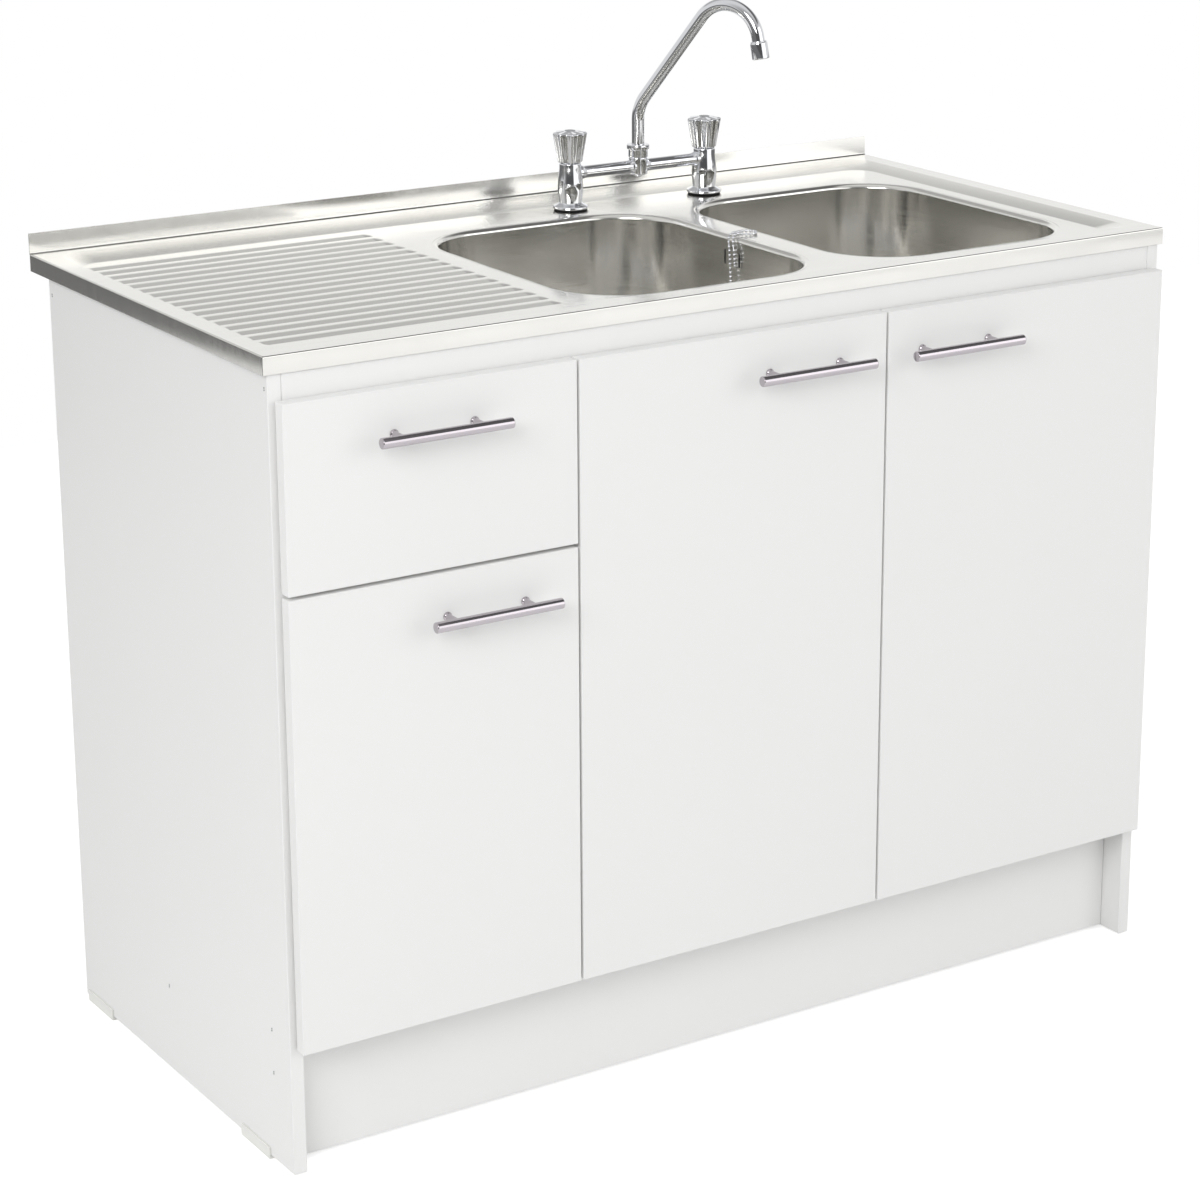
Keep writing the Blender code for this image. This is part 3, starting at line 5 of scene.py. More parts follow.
import bmesh
import bpy
from bpy.props import FloatProperty, FloatVectorProperty, IntProperty, PointerProperty
from bpy.types import Operator, Panel, PropertyGroup
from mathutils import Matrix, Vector


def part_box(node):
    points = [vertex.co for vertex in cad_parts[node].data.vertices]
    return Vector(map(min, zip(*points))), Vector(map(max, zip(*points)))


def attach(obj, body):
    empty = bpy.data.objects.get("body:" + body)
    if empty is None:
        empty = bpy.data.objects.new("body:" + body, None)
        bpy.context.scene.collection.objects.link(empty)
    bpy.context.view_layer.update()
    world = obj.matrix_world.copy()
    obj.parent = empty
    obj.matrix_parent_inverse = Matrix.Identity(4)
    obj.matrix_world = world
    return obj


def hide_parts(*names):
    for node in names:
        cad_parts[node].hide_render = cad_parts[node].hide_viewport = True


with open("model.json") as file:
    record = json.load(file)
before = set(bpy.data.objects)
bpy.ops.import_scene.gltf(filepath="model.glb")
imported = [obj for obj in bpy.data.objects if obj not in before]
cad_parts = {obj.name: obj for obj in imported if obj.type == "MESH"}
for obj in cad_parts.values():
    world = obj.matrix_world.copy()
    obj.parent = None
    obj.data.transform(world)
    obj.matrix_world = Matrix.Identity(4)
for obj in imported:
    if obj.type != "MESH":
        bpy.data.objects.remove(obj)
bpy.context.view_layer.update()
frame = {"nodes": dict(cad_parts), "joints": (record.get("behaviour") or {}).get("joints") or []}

bl_info = {
    "name": "Kitchen Sink Cabinet",
    "version": (1, 0, 0),
    "blender": (4, 5, 0),
    "location": "3D View > Sidebar > Sink Cabinet",
    "description": "Builds the finished look of a kitchen sink cabinet on its packed model",
    "category": "Object",
}

SIDES = ("left", "right")
DOORS = ("left_door", "middle_door", "right_door")

# Faces that would lie in one plane are kept this far apart, and no radius is smaller
HAIR = 0.0003

# Directions, and for a turned body its own direction with the two beside it
X_AXIS = Vector((1.0, 0.0, 0.0))
Y_AXIS = Vector((0.0, 1.0, 0.0))
Z_AXIS = Vector((0.0, 0.0, 1.0))
ALONG_X = (X_AXIS, Y_AXIS, Z_AXIS)
ALONG_Y = (Y_AXIS, Z_AXIS, X_AXIS)
ALONG_Z = (Z_AXIS, X_AXIS, Y_AXIS)

# Steps in each corner of a bowl and of its opening, which have to agree
BOWL_STEPS = 20

# Y and Z of the screws in a side panel
SCREW_PLACES = ((0.275, 0.880), (-0.266, 0.884), (-0.230, 0.161), (-0.231, 0.110), (0.036, 0.110))

# Patterns: a metre in millimetres, the span that noise seldom leaves, and two grain sizes in millimetres
MILLIMETRES = 1000.0
NOISE_SPAN = (0.3, 0.7)
CLOUD_SIZES = (260.0, 260.0, 260.0)
FIBRE_SIZES = (6.0, 6.0, 6.0)

# The camera's place and the way it looks, the level direction away from it, and what the lights face
CAMERA_PLACE = (-1.995, -3.136, 1.688)
CAMERA_LOOKS = (0.52592, 0.80342, -0.27914)
AWAY_FROM_CAMERA = (0.548, 0.837, 0.0)
LIGHT_AIM = (0.0, 0.0, 0.6)


# Settings that a user would change

def linear(hex_colour):
    """An sRGB hex colour as linear red, green and blue."""
    channels = [int(hex_colour[start:start + 2], 16) / 255 for start in (1, 3, 5)]
    return tuple(c / 12.92 if c <= 0.04045 else ((c + 0.055) / 1.055) ** 2.4 for c in channels)


def length(name, default, description):
    """A length setting, in metres."""
    return FloatProperty(name=name, description=description, default=default, precision=4, unit="LENGTH")


def angle(name, degrees, description):
    """An angle setting, written here in degrees."""
    return FloatProperty(name=name, description=description, default=math.radians(degrees), subtype="ANGLE")


def level(name, default, description):
    """A plain number setting from 0 up."""
    return FloatProperty(name=name, description=description, default=default, min=0.0)


def power(name, default, description):
    """The power of a light, in watts."""
    return FloatProperty(name=name, description=description, default=default, min=0.0, unit="POWER")


def colour(name, default, description):
    """A colour setting, written here as sRGB hex."""
    return FloatVectorProperty(
        name=name, description=description, default=linear(default), min=0.0, max=1.0, subtype="COLOR")


class SinkSizes(PropertyGroup):
    sheet: length("Sheet", 0.0012, "Thickness of the pressed steel sheet")
    apron: length("Apron", 0.020, "Height of the folded edge at the front and sides")
    bend: length("Edge bend", 0.0016, "Radius of the bend from the rim into the apron")
    seam: length("Corner seam", 0.0006, "Slit between the two folded edges at a front corner")
    upstand_bend: length("Upstand bend", 0.0016, "Radius of the cove at the foot of the upstand")
    rim: length("Rim", 0.024, "Width of the raised flat rim")
    slope_front: length("Front slope", 0.016, "Width of the slope from the rim into the tray at the front")
    rim_back: length("Back rim", 0.012, "Width of the flat rim at the foot of the upstand")
    slope_back: length("Back slope", 0.052, "Width of the slope from the rim into the tray at the back")
    slope_left: length("Left slope", 0.004, "Width of the slope from the rim into the tray at the left")
    slope_right: length("Right slope", 0.027, "Width of the slope from the rim into the tray at the right")
    tray_corner: length("Tray corner", 0.030, "Corner radius of the tray")
    groove_pitch: length("Groove pitch", 0.027, "Distance from one drainer groove to the next")
    groove_width: length("Groove width", 0.020, "Width of a drainer groove")
    groove_depth: length("Groove depth", 0.0027, "Depth of a drainer groove")
    groove_step: length("Groove step", 0.0024, "Width of the steep front side of a drainer groove")
    groove_end: length("Groove end", 0.009, "Length over which a drainer groove runs out")
    drainer_left: length("Drainer left", 0.002, "From the tray's left edge to the grooves")
    drainer_right: length("Drainer right", 0.024, "From the grooves to the left bowl")
    drainer_front: length("Drainer front", 0.025, "From the tray's front edge to the first groove")
    groove_count: IntProperty(name="Grooves", description="Number of drainer grooves", default=17, min=1)
    tap_hole: length("Tap hole", 0.014, "Radius of a tap hole")
    bowl_corner: length("Bowl corner", 0.095, "Corner radius of a bowl's opening")
    bowl_depth: length("Bowl depth", 0.150, "Depth of a bowl at its walls")
    bowl_ledge: length("Bowl ledge", 0.002, "Flat strip around a bowl's opening")
    bowl_lip: length("Bowl lip", 0.006, "Radius of the lip of a bowl")
    bowl_foot: length("Bowl foot", 0.040, "Radius from a bowl's walls into its floor")
    bowl_fall: length("Bowl fall", 0.002, "Fall of a bowl's floor to its waste")
    waste_hole: length("Waste hole", 0.024, "Radius of the waste hole")


class WasteSizes(PropertyGroup):
    flange: length("Flange", 0.0022, "Thickness of the waste's flange")
    edge: length("Flange edge", 0.0007, "Rounding of the flange's rim")
    dish: length("Dish", 0.0011, "How far the flange falls to its bore")
    tail: length("Tail", 0.0225, "Outer radius of the tail")
    bore: length("Bore", 0.0195, "Radius of the bore")
    bar: length("Cross bar", 0.0024, "Width of a bar of the cross")
    bar_drop: length("Cross drop", 0.004, "Depth of the cross below the flange")
    plug_foot: length("Plug foot", 0.018, "Radius of the plug's foot")
    plug_height: length("Plug height", 0.009, "Height of the plug without its post")
    plug_edge: length("Plug edge", 0.002, "Rounding of the plug's rim")
    plug_post: length("Plug post", 0.004, "Radius of the post that holds the chain")
    cover_corner: length("Cover corner", 0.008, "Corner radius of the overflow cover")
    cover_thickness: length("Cover thickness", 0.002, "Thickness of the overflow cover")
    cover_proud: length("Cover proud", 0.0004, "How far the overflow cover stands out of the wall")
    cover_slope: length("Cover slope", 0.007, "Width of the slope from the cover's rim to its face")
    cover_rim: length("Cover rim", 0.0001, "Thickness of the cover at its rim")
    # A black block in each overflow slot is painted shade of the hollow behind it; this is how far its face
    # lies below the cover's face
    slot_shade_depth: length("Seal depth", 0.0003, "How far the dark seal lies below the cover's face")
    slot_width: length("Slot width", 0.0036, "Width of a slot of the overflow cover")
    slot_height: length("Slot height", 0.018, "Height of a slot of the overflow cover")
    slot_spacing: length("Slot spacing", 0.030, "Distance between the slots of the overflow cover")
    pipe: length("Overflow pipe", 0.010, "Radius of the pipe behind the overflow cover")


class ChainSizes(PropertyGroup):
    bead: length("Bead", 0.0040, "Diameter of a bead of the chain")
    pitch: length("Pitch", 0.0052, "Distance from bead to bead")
    wire: length("Wire", 0.0010, "Diameter of the wire between beads")


class MixerSizes(PropertyGroup):
    flange: length("Flange", 0.0225, "Radius of a pillar's flange")
    flange_rim: length("Flange rim", 0.0022, "Height of the flange's rim")
    flange_lip: length("Flange lip", 0.0009, "How far the flange's rim reaches down round the black ring")
    flange_height: length("Flange height", 0.005, "Height of the flange at the pillar")
    tail: length("Tail", 0.0104, "Radius of the threaded tail below the sink")
    pillar: length("Pillar", 0.0146, "Radius of a pillar at its foot")
    bulge: length("Bulge", 0.0164, "Radius of a pillar at its widest")
    bulge_height: length("Bulge height", 0.024, "Height of a pillar's widest place above its foot")
    bonnet: length("Bonnet", 0.0138, "Radius of the bonnet on a pillar")
    bonnet_height: length("Bonnet height", 0.007, "Height of the bonnet")
    ease: length("Edge ease", 0.0016, "How far the edges of the turned parts are rounded")
    spindle: length("Spindle", 0.004, "Radius of the spindle inside a knob")
    spindle_height: length("Spindle height", 0.012, "Height of the spindle inside a knob")
    bridge: length("Bridge", 0.0076, "Radius of the pipe between the pillars")
    bridge_flare: length("Bridge flare", 0.0094, "Radius of that pipe where it meets a pillar or the hub")
    flare_length: length("Flare length", 0.008, "How far a flare reaches along the pipe")
    bridge_height: length("Bridge height", 0.042, "Height of the pipe above the flanges' underside")
    hub: length("Hub", 0.0105, "Radius of the hub inside the union nut")
    hub_body: length("Hub body", 0.0118, "Radius of the hub below the union nut")
    hub_foot: length("Hub foot", 0.0045, "Radius of the hub's foot")
    hub_drop: length("Hub drop", 0.003, "How far the foot stands out below the hub")
    nut: length("Nut", 0.0124, "Radius of the union nut")
    nut_collar: length("Nut collar", 0.006, "Height of the union nut's wider collar")


class KnobSizes(PropertyGroup):
    foot: length("Foot", 0.0152, "Radius of a knob at its foot")
    head: length("Head", 0.0218, "Radius of a knob at its head")
    edge: length("Edge", 0.0022, "Rounding of the edge round the head")
    crown: length("Crown", 0.0026, "Rise of the head above that edge")
    flutes: IntProperty(name="Flutes", description="Number of flutes of a knob", default=8, min=3)
    flute_foot: length("Flute at foot", 0.0026, "Depth of a flute at the foot")
    flute_head: length("Flute at head", 0.0042, "Depth of a flute at the head")
    flute_breadth: level("Flute breadth", 0.75, "Lower makes the flutes wider and the ribs narrower")
    index: length("Index", 0.0070, "Radius of the index disc on the head")


class SpoutSizes(PropertyGroup):
    tube: length("Tube", 0.0080, "Radius of the spout")
    rise: length("Rise", 0.0421, "Height of the upright start")
    elbow: length("Elbow", 0.050, "Radius of the first bend")
    elbow_turn: angle("Elbow turn", 38, "Turn of the first bend")
    run: length("Run", 0.1331, "Length of the straight run")
    arch: length("Arch", 0.045, "Radius of the bend down to the outlet")
    arch_turn: angle("Arch turn", 132, "Turn of the bend down to the outlet")
    end: length("End", 0.010, "Length of the straight end")
    heading: angle("Heading", 25, "Turn of the spout to the right of straight out")
    aerator: length("Aerator", 0.0108, "Radius of the aerator")
    aerator_length: length("Aerator length", 0.022, "Length of the aerator")
    aerator_cover: length("Aerator cover", 0.006, "How far the aerator reaches over the spout's end")
    aerator_bore: length("Aerator bore", 0.0080, "Radius of the opening below")


class HandleSizes(PropertyGroup):
    bar: length("Bar", 0.006, "Radius of a handle's bar")
    bar_edge: length("Bar edge", 0.0012, "Rounding of the bar's ends")
    post: length("Post", 0.0034, "Radius of a handle's posts")
    post_foot: length("Post foot", 0.0052, "Radius of a post where it meets the front")
    spacing: length("Post spacing", 0.096, "Distance between a handle's posts")


class ScrewSizes(PropertyGroup):
    head: length("Head", 0.0036, "Radius of a screw head")
    proud: length("Proud", 0.0005, "How far a screw head stands out of the panel")
    cross: length("Cross", 0.0038, "Length of the cross recess")
    cross_width: length("Cross width", 0.0009, "Width of the cross recess")


class FinishColours(PropertyGroup):
    melamine: colour("Melamine", "#EFEFEE", "White melamine-faced board")
    hardboard: colour("Hardboard", "#E6E5E1", "White-painted hardboard")
    steel: colour("Stainless steel", "#E4E3DF", "Brushed stainless steel sheet")
    chrome: colour("Chrome", "#E4E5E8", "Polished chrome plating")
    nickel: colour("Satin nickel", "#BFB9BE", "Satin nickel plating of the handles")
    zinc: colour("Zinc plate", "#BDBFBE", "Zinc-plated steel")
    screw: colour("Screw zinc", "#77797B", "Dull zinc plating of the screws")
    brass: colour("Brass", "#C8A866", "Plain brass")
    rubber: colour("Rubber", "#141414", "Black rubber")
    plastic: colour("White plastic", "#ECECE8", "White moulded plastic")
    index: colour("Index grey", "#8F9194", "Grey plastic of the index discs")
    floor: colour("Floor", "#E6E6E6", "Plain pale floor")


class StageSettings(PropertyGroup):
    floor_size: length("Floor size", 7.0, "Width of the floor")
    floor_front: length("Floor front", 4.4, "How far the floor reaches to the front")
    floor_back: length("Floor back", 2.74, "How far the floor reaches to the back")
    floor_glow: level("Floor glow", 0.62, "Light added to the floor where the camera or a mirror sees it")
    back: level("Back level", 1.15, "Brightness of the room behind the object")
    side: level("Side level", 0.84, "Brightness of the room to the sides")
    front: level("Front level", 0.1, "Brightness of the room round the camera")
    ceiling: level("Ceiling level", 0.8, "Brightness of the room overhead")
    canopy: level("Canopy level", 0.45, "Brightness of the room above the camera")
    loft: level("Loft level", 0.5, "Brightness of the room high up behind the object")
    below: level("Low level", 0.18, "Brightness of the room past the floor's edge")
    flag: level("Flag level", 0.16, "Brightness of the dark card overhead at the right")
    mirror_share: level("Mirror share", 0.5, "Share of the floor's glow that a mirror sees")
    key: power("Key light", 80.0, "Power of the large soft light")
    card: power("Card light", 40.0, "Power of the pale card at the right")
    lens: FloatProperty(name="Lens", description="Focal length of the camera", default=96.857, unit="CAMERA")
    shift_x: FloatProperty(name="Shift across", description="Shift of the lens to the side", default=-0.05)
    shift_y: FloatProperty(name="Shift up", description="Shift of the lens upwards", default=-0.0833)


class SinkCabinetSettings(PropertyGroup):
    sink: PointerProperty(type=SinkSizes)
    waste: PointerProperty(type=WasteSizes)
    chain: PointerProperty(type=ChainSizes)
    mixer: PointerProperty(type=MixerSizes)
    knob: PointerProperty(type=KnobSizes)
    spout: PointerProperty(type=SpoutSizes)
    handle: PointerProperty(type=HandleSizes)
    screw: PointerProperty(type=ScrewSizes)
    colours: PointerProperty(type=FinishColours)
    stage: PointerProperty(type=StageSettings)


def settings():
    """The settings of this scene."""
    return bpy.context.scene.sink_cabinet


# Finishes

def add_node(tree, kind, inputs=None, **values):
    """Adds a shader node, sets its values, and sets or links its inputs."""
    node = tree.nodes.new(kind)
    for name, value in values.items():
        setattr(node, name, value)
    for socket, value in (inputs or {}).items():
        if isinstance(value, bpy.types.NodeSocket):
            tree.links.new(value, node.inputs[socket])
        else:
            node.inputs[socket].default_value = value
    return node


def start_finish(name, base, roughness, metallic=0.0):
    """A new material with its Principled shader set."""
    material = bpy.data.materials.new(name)
    material.use_nodes = True
    material.diffuse_color = (*base, 1.0)
    shader = material.node_tree.nodes["Principled BSDF"]
    shader.inputs["Base Color"].default_value = (*base, 1.0)
    shader.inputs["Roughness"].default_value = roughness
    shader.inputs["Metallic"].default_value = metallic
    return material


def add_pattern(material, sizes, rough=None, relief=None, darker=None, detail=2.0):
    """Noise with grains of these sizes along X, Y and Z, in millimetres, and what it does to the surface.

    It moves the roughness between two values, raises the surface by a depth in metres at a strength, and lets
    the colour vary between itself and a darker tone.
    """
    tree = material.node_tree
    shader = tree.nodes["Principled BSDF"]
    place = add_node(tree, "ShaderNodeTexCoord")
    repeats = tuple(MILLIMETRES / size for size in sizes)
    spread = add_node(tree, "ShaderNodeMapping", {"Vector": place.outputs["Object"], "Scale": repeats})
    noise = add_node(tree, "ShaderNodeTexNoise", {
        "Vector": spread.outputs["Vector"], "Scale": 1.0, "Detail": detail})
    if rough:
        span = add_node(tree, "ShaderNodeMapRange", {
            "Value": noise.outputs["Fac"], "From Min": NOISE_SPAN[0], "From Max": NOISE_SPAN[1],
            "To Min": rough[0], "To Max": rough[1]})
        tree.links.new(span.outputs["Result"], shader.inputs["Roughness"])
    if relief:
        bump = add_node(tree, "ShaderNodeBump", {
            "Height": noise.outputs["Fac"], "Distance": relief[0], "Strength": relief[1]})
        tree.links.new(bump.outputs["Normal"], shader.inputs["Normal"])
    if darker:
        base = material.diffuse_color[:3]
        shade = tuple(channel * darker for channel in base)
        blend = add_node(tree, "ShaderNodeMix", {
            "Factor": noise.outputs["Fac"], "A": (*base, 1.0), "B": (*shade, 1.0)}, data_type="RGBA")
        tree.links.new(blend.outputs["Result"], shader.inputs["Base Color"])


def board_finish(name, base, roughness, pearl):
    """Faced board: a matt white sheet with a fine pearl texture that softens its sheen."""
    material = start_finish(name, base, roughness)
    add_pattern(material, (pearl,) * 3, rough=(roughness - 0.05, roughness + 0.05), relief=(0.00004, 0.25))
    add_pattern(material, CLOUD_SIZES, darker=0.985)


def brushed_finish(name, base, roughness, line, depth):
    """Brushed metal: fine lines along the longer grain, which draw reflections out across them."""
    material = start_finish(name, base, roughness, metallic=1.0)
    rough = (roughness - 0.04, roughness + 0.06)
    add_pattern(material, line, rough, relief=(depth, 0.2), darker=0.96, detail=3.0)


def plated_finish(name, base, roughness, patch, darker):
    """Plated or plain metal: even, with faint patches where it is a little duller."""
    material = start_finish(name, base, roughness, metallic=1.0)
    add_pattern(material, (patch,) * 3, rough=(roughness * 0.8, roughness * 1.25), darker=darker)


def moulded_finish(name, base, roughness, pore):
    """Moulded rubber or plastic: one colour with a fine pore that breaks up its sheen."""
    material = start_finish(name, base, roughness)
    add_pattern(material, (pore,) * 3, rough=(roughness - 0.08, roughness + 0.08), relief=(0.00005, 0.3))


def make_finishes():
    """Makes every finish once, by its name, with the size of its pattern in millimetres."""
    colours = settings().colours
    # Resin-faced paper pressed on a pearl plate: clean white with a broad, soft sheen
    board_finish("melamine_faced_board", colours.melamine, roughness=0.42, pearl=0.9)
    # Pressed fibre under a thin coat of paint: duller and less even
    board_finish("painted_hardboard", colours.hardboard, roughness=0.6, pearl=2.0)
    # Sheet brushed along its length: reflections keep their place and lose their edges. Real brushing is too
    # fine to show in a render, so its lines are drawn about a millimetre wide, here and in the next two
    brushed_finish("brushed_steel_deck", colours.steel, roughness=0.17, line=(90.0, 0.9, 90.0), depth=1e-5)
    # The same sheet drawn into a bowl, with its lines round the walls
    brushed_finish("brushed_steel_bowl", colours.steel, roughness=0.17, line=(90.0, 90.0, 0.9), depth=1e-5)
    # Nickel over brushed steel: a warm grey with one long streak of light on a round bar
    brushed_finish("satin_nickel_plate", colours.nickel, roughness=0.12, line=(60.0, 1.0, 1.0), depth=5e-6)
    # Chrome over polished brass: a cool mirror
    plated_finish("polished_chrome", colours.chrome, roughness=0.06, patch=18.0, darker=0.985)
    # Buffed steel: a mirror that is a little blurred
    plated_finish("polished_steel", colours.steel, roughness=0.14, patch=9.0, darker=0.96)
    # Bright zinc on pressed steel: grey with a blurred, patchy gleam
    plated_finish("bright_zinc_plate", colours.zinc, roughness=0.34, patch=3.0, darker=0.88)
    # Dull zinc on screws: dark grey with little gleam
    plated_finish("dull_zinc_plate", colours.screw, roughness=0.45, patch=1.0, darker=0.8)
    # Bare turned brass: yellow, between bright and dull
    plated_finish("turned_brass", colours.brass, roughness=0.3, patch=4.0, darker=0.9)
    # Rubber from a mould: black with hardly any gleam
    moulded_finish("moulded_rubber", colours.rubber, roughness=0.55, pore=0.8)
    # Plastic from a mould: white with a soft gleam
    moulded_finish("moulded_white_plastic", colours.plastic, roughness=0.42, pore=0.9)
    # The same in grey, with a finer pore
    moulded_finish("index_plastic", colours.index, roughness=0.4, pore=0.6)


# Shapes

def rectangle(x, y):
    """Corners of a rectangle, anticlockwise from its low X and low Y corner."""
    return (x[0], y[0]), (x[1], y[0]), (x[1], y[1]), (x[0], y[1])


def rounded_rectangle(x, y, corner, steps, inset=0.0):
    """Points of a rounded rectangle drawn in by an inset, anticlockwise from its low X and low Y corner."""
    radius = corner - inset
    low_x = x[0] + inset + radius
    high_x = x[1] - inset - radius
    low_y = y[0] + inset + radius
    high_y = y[1] - inset - radius
    points = []
    for quarter, (centre_x, centre_y) in enumerate(rectangle((low_x, high_x), (low_y, high_y))):
        for step in range(steps + 1):
            turn = math.pi * ((1 + 0.5 * quarter) % 2) + 0.5 * math.pi * step / steps
            points.append((centre_x + radius * math.cos(turn), centre_y + radius * math.sin(turn)))
    return points


def circle(centre, radius, sides):
    """Points of a circle, anticlockwise."""
    turns = [2 * math.pi * step / sides for step in range(sides)]
    return [(centre[0] + radius * math.cos(turn), centre[1] + radius * math.sin(turn)) for turn in turns]


def quarter_bend(radius, steps, start=1):
    """Points of a bend through a right angle: how far each lies ahead and to the side."""
    turns = [0.5 * math.pi * step / steps for step in range(start, steps + 1)]
    return [(radius * math.sin(turn), radius * (1 - math.cos(turn))) for turn in turns]


def add_ring(shape, outline, height):
    """New vertices on an outline at one height."""
    return [shape.verts.new((x, y, height)) for x, y in outline]


def add_hoop(shape, centre, side, other, radius, sides):
    """New vertices on a circle round a point, in the plane of two directions."""
    offsets = circle((0.0, 0.0), radius, sides)
    return [shape.verts.new(centre + side * x + other * y) for x, y in offsets]


def skin_rings(shape, rings, ends=True):
    """Faces from each ring to the next, and over the first and the last where the ends are closed."""
    for first, second in zip(rings, rings[1:]):
        for index in range(len(first)):
            after = (index + 1) % len(first)
            shape.faces.new((first[index], first[after], second[after], second[index]))
    if ends:
        shape.faces.new(rings[0])
        shape.faces.new(rings[-1])


def skin_strip(shape, rows):
    """Faces between open rows with as many vertices."""
    for first, second in zip(rows, rows[1:]):
        for index in range(len(first) - 1):
            shape.faces.new((first[index], first[index + 1], second[index + 1], second[index]))


def fill_between(shape, rings):
    """A flat face inside the first ring with the others as its holes."""
    edges = []
    for ring in rings:
        for pair in zip(ring, ring[1:] + ring[:1]):
            edges.append(shape.edges.get(pair) or shape.edges.new(pair))
    bmesh.ops.triangle_fill(shape, use_beauty=True, edges=edges, normal=Z_AXIS)


def eased(profile, setback, steps=4):
    """The profile with each inner corner drawn as a short curve."""
    most = 0.45
    points = [Vector(profile[0])]
    for before, corner, after in zip(profile, profile[1:], profile[2:]):
        corner = Vector(corner)
        back = Vector(before) - corner
        ahead = Vector(after) - corner
        start = corner + back.normalized() * min(setback, most * back.length)
        end = corner + ahead.normalized() * min(setback, most * ahead.length)
        for step in range(steps + 1):
            share = step / steps
            points.append(start.lerp(corner, share).lerp(corner.lerp(end, share), share))
    points.append(Vector(profile[-1]))
    return points


def add_turned(shape, profile, place, sides=64, axes=ALONG_Z, looped=False):
    """A turned body: the profile's points are radius and distance along the first of the axes."""
    ahead, side, other = axes
    rings = []
    for radius, along in profile:
        rings.append(add_hoop(shape, Vector(place) + ahead * along, side, other, max(radius, HAIR), sides))
    if looped:
        rings.append(rings[0])
    skin_rings(shape, rings, ends=not looped)


def frames_along(points):
    """Two side directions at each point of a path, carried along without a twist."""
    frames = []
    side = None
    for index in range(len(points)):
        before = points[max(index - 1, 0)]
        after = points[min(index + 1, len(points) - 1)]
        ahead = (after - before).normalized()
        if side is None:
            side = ahead.orthogonal().normalized()
        side = (side - ahead * side.dot(ahead)).normalized()
        frames.append((side, ahead.cross(side)))
    return frames


def add_swept(shape, points, radii, sides):
    """A round tube along a path, with a radius at each point and both ends closed."""
    rings = []
    for point, (side, other), radius in zip(points, frames_along(points), radii):
        rings.append(add_hoop(shape, point, side, other, radius, sides))
    skin_rings(shape, rings)


def add_block(shape, low, high):
    """A plain block between two corners."""
    outline = rectangle((low[0], high[0]), (low[1], high[1]))
    skin_rings(shape, [add_ring(shape, outline, height) for height in (low[2], high[2])])


def make_mesh(name, shape, faces_up=False):
    """A mesh from the shape. An open sheet keeps its upper side as its outside."""
    bmesh.ops.dissolve_degenerate(shape, dist=1e-7, edges=shape.edges)
    bmesh.ops.recalc_face_normals(shape, faces=shape.faces)
    if faces_up:
        lift = sum(face.normal.z * face.calc_area() for face in shape.faces)
        if lift < 0:
            bmesh.ops.reverse_faces(shape, faces=shape.faces)
    mesh = bpy.data.meshes.new(name)
    shape.to_mesh(mesh)
    shape.free()
    return mesh


def add_object(name, data):
    """A new object in the scene."""
    item = bpy.data.objects.new(name, data)
    bpy.context.scene.collection.objects.link(item)
    return item


def add_piece(name, shape, finish, nodes=(), body="carcass", crease=40.0, faces_up=False):
    """Places a finished piece on its body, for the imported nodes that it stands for."""
    mesh = make_mesh(name, shape, faces_up)
    mesh.materials.append(bpy.data.materials[finish])
    mesh.shade_smooth()
    mesh.set_sharp_from_angle(angle=math.radians(crease))
    piece = add_object(name, mesh)
    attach(piece, body)
    if nodes:
        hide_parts(*nodes)
    return piece


def thicken(piece, thickness):
    """Gives a sheet its thickness below its outside, and keeps its flat faces flat in the light."""
    solid = piece.modifiers.new("Sheet thickness", "SOLIDIFY")
    solid.thickness = thickness
    solid.offset = -1.0
    normals = piece.modifiers.new("Flat faces stay flat", "WEIGHTED_NORMAL")
    normals.keep_sharp = True


def cut(piece, shape):
    """Takes a shape out of a piece."""
    tool = add_object("cutter", make_mesh("cutter", shape))
    boolean = piece.modifiers.new("Cut", "BOOLEAN")
    boolean.operation = "DIFFERENCE"
    boolean.solver = "EXACT"
    boolean.object = tool
    depsgraph = bpy.context.evaluated_depsgraph_get()
    mesh = bpy.data.meshes.new_from_object(piece.evaluated_get(depsgraph))
    piece.modifiers.clear()
    piece.data = mesh
    bpy.data.objects.remove(tool)


def middle(node):
    """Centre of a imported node's box."""
    low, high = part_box(node)
    return (low + high) / 2


def stand(node):
    """The point at height 0 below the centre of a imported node, and half the node's width."""
    low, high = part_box(node)
    place = middle(node)
    place.z = 0.0
    return place, (high.x - low.x) / 2


# Sink top

def tray_span():
    """The sunk tray's low and high X and Y, and the heights of the rim and the tray."""
    sink = settings().sink
    low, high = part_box("sink_deck")
    bowl_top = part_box("sink_bowl_left")[1].z
    x = (low.x + sink.rim + sink.slope_left, high.x - sink.rim - sink.slope_right)
    y = (low.y + sink.rim + sink.slope_front, high.y - sink.sheet - sink.rim_back - sink.slope_back)
    return x, y, low.z + sink.apron, bowl_top


def bowl_span(side):
    """Low and high X and Y of a bowl's opening in the sink top."""
    low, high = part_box("sink_bowl_" + side)
    return (low.x - HAIR, high.x + HAIR), (low.y - HAIR, high.y + HAIR)


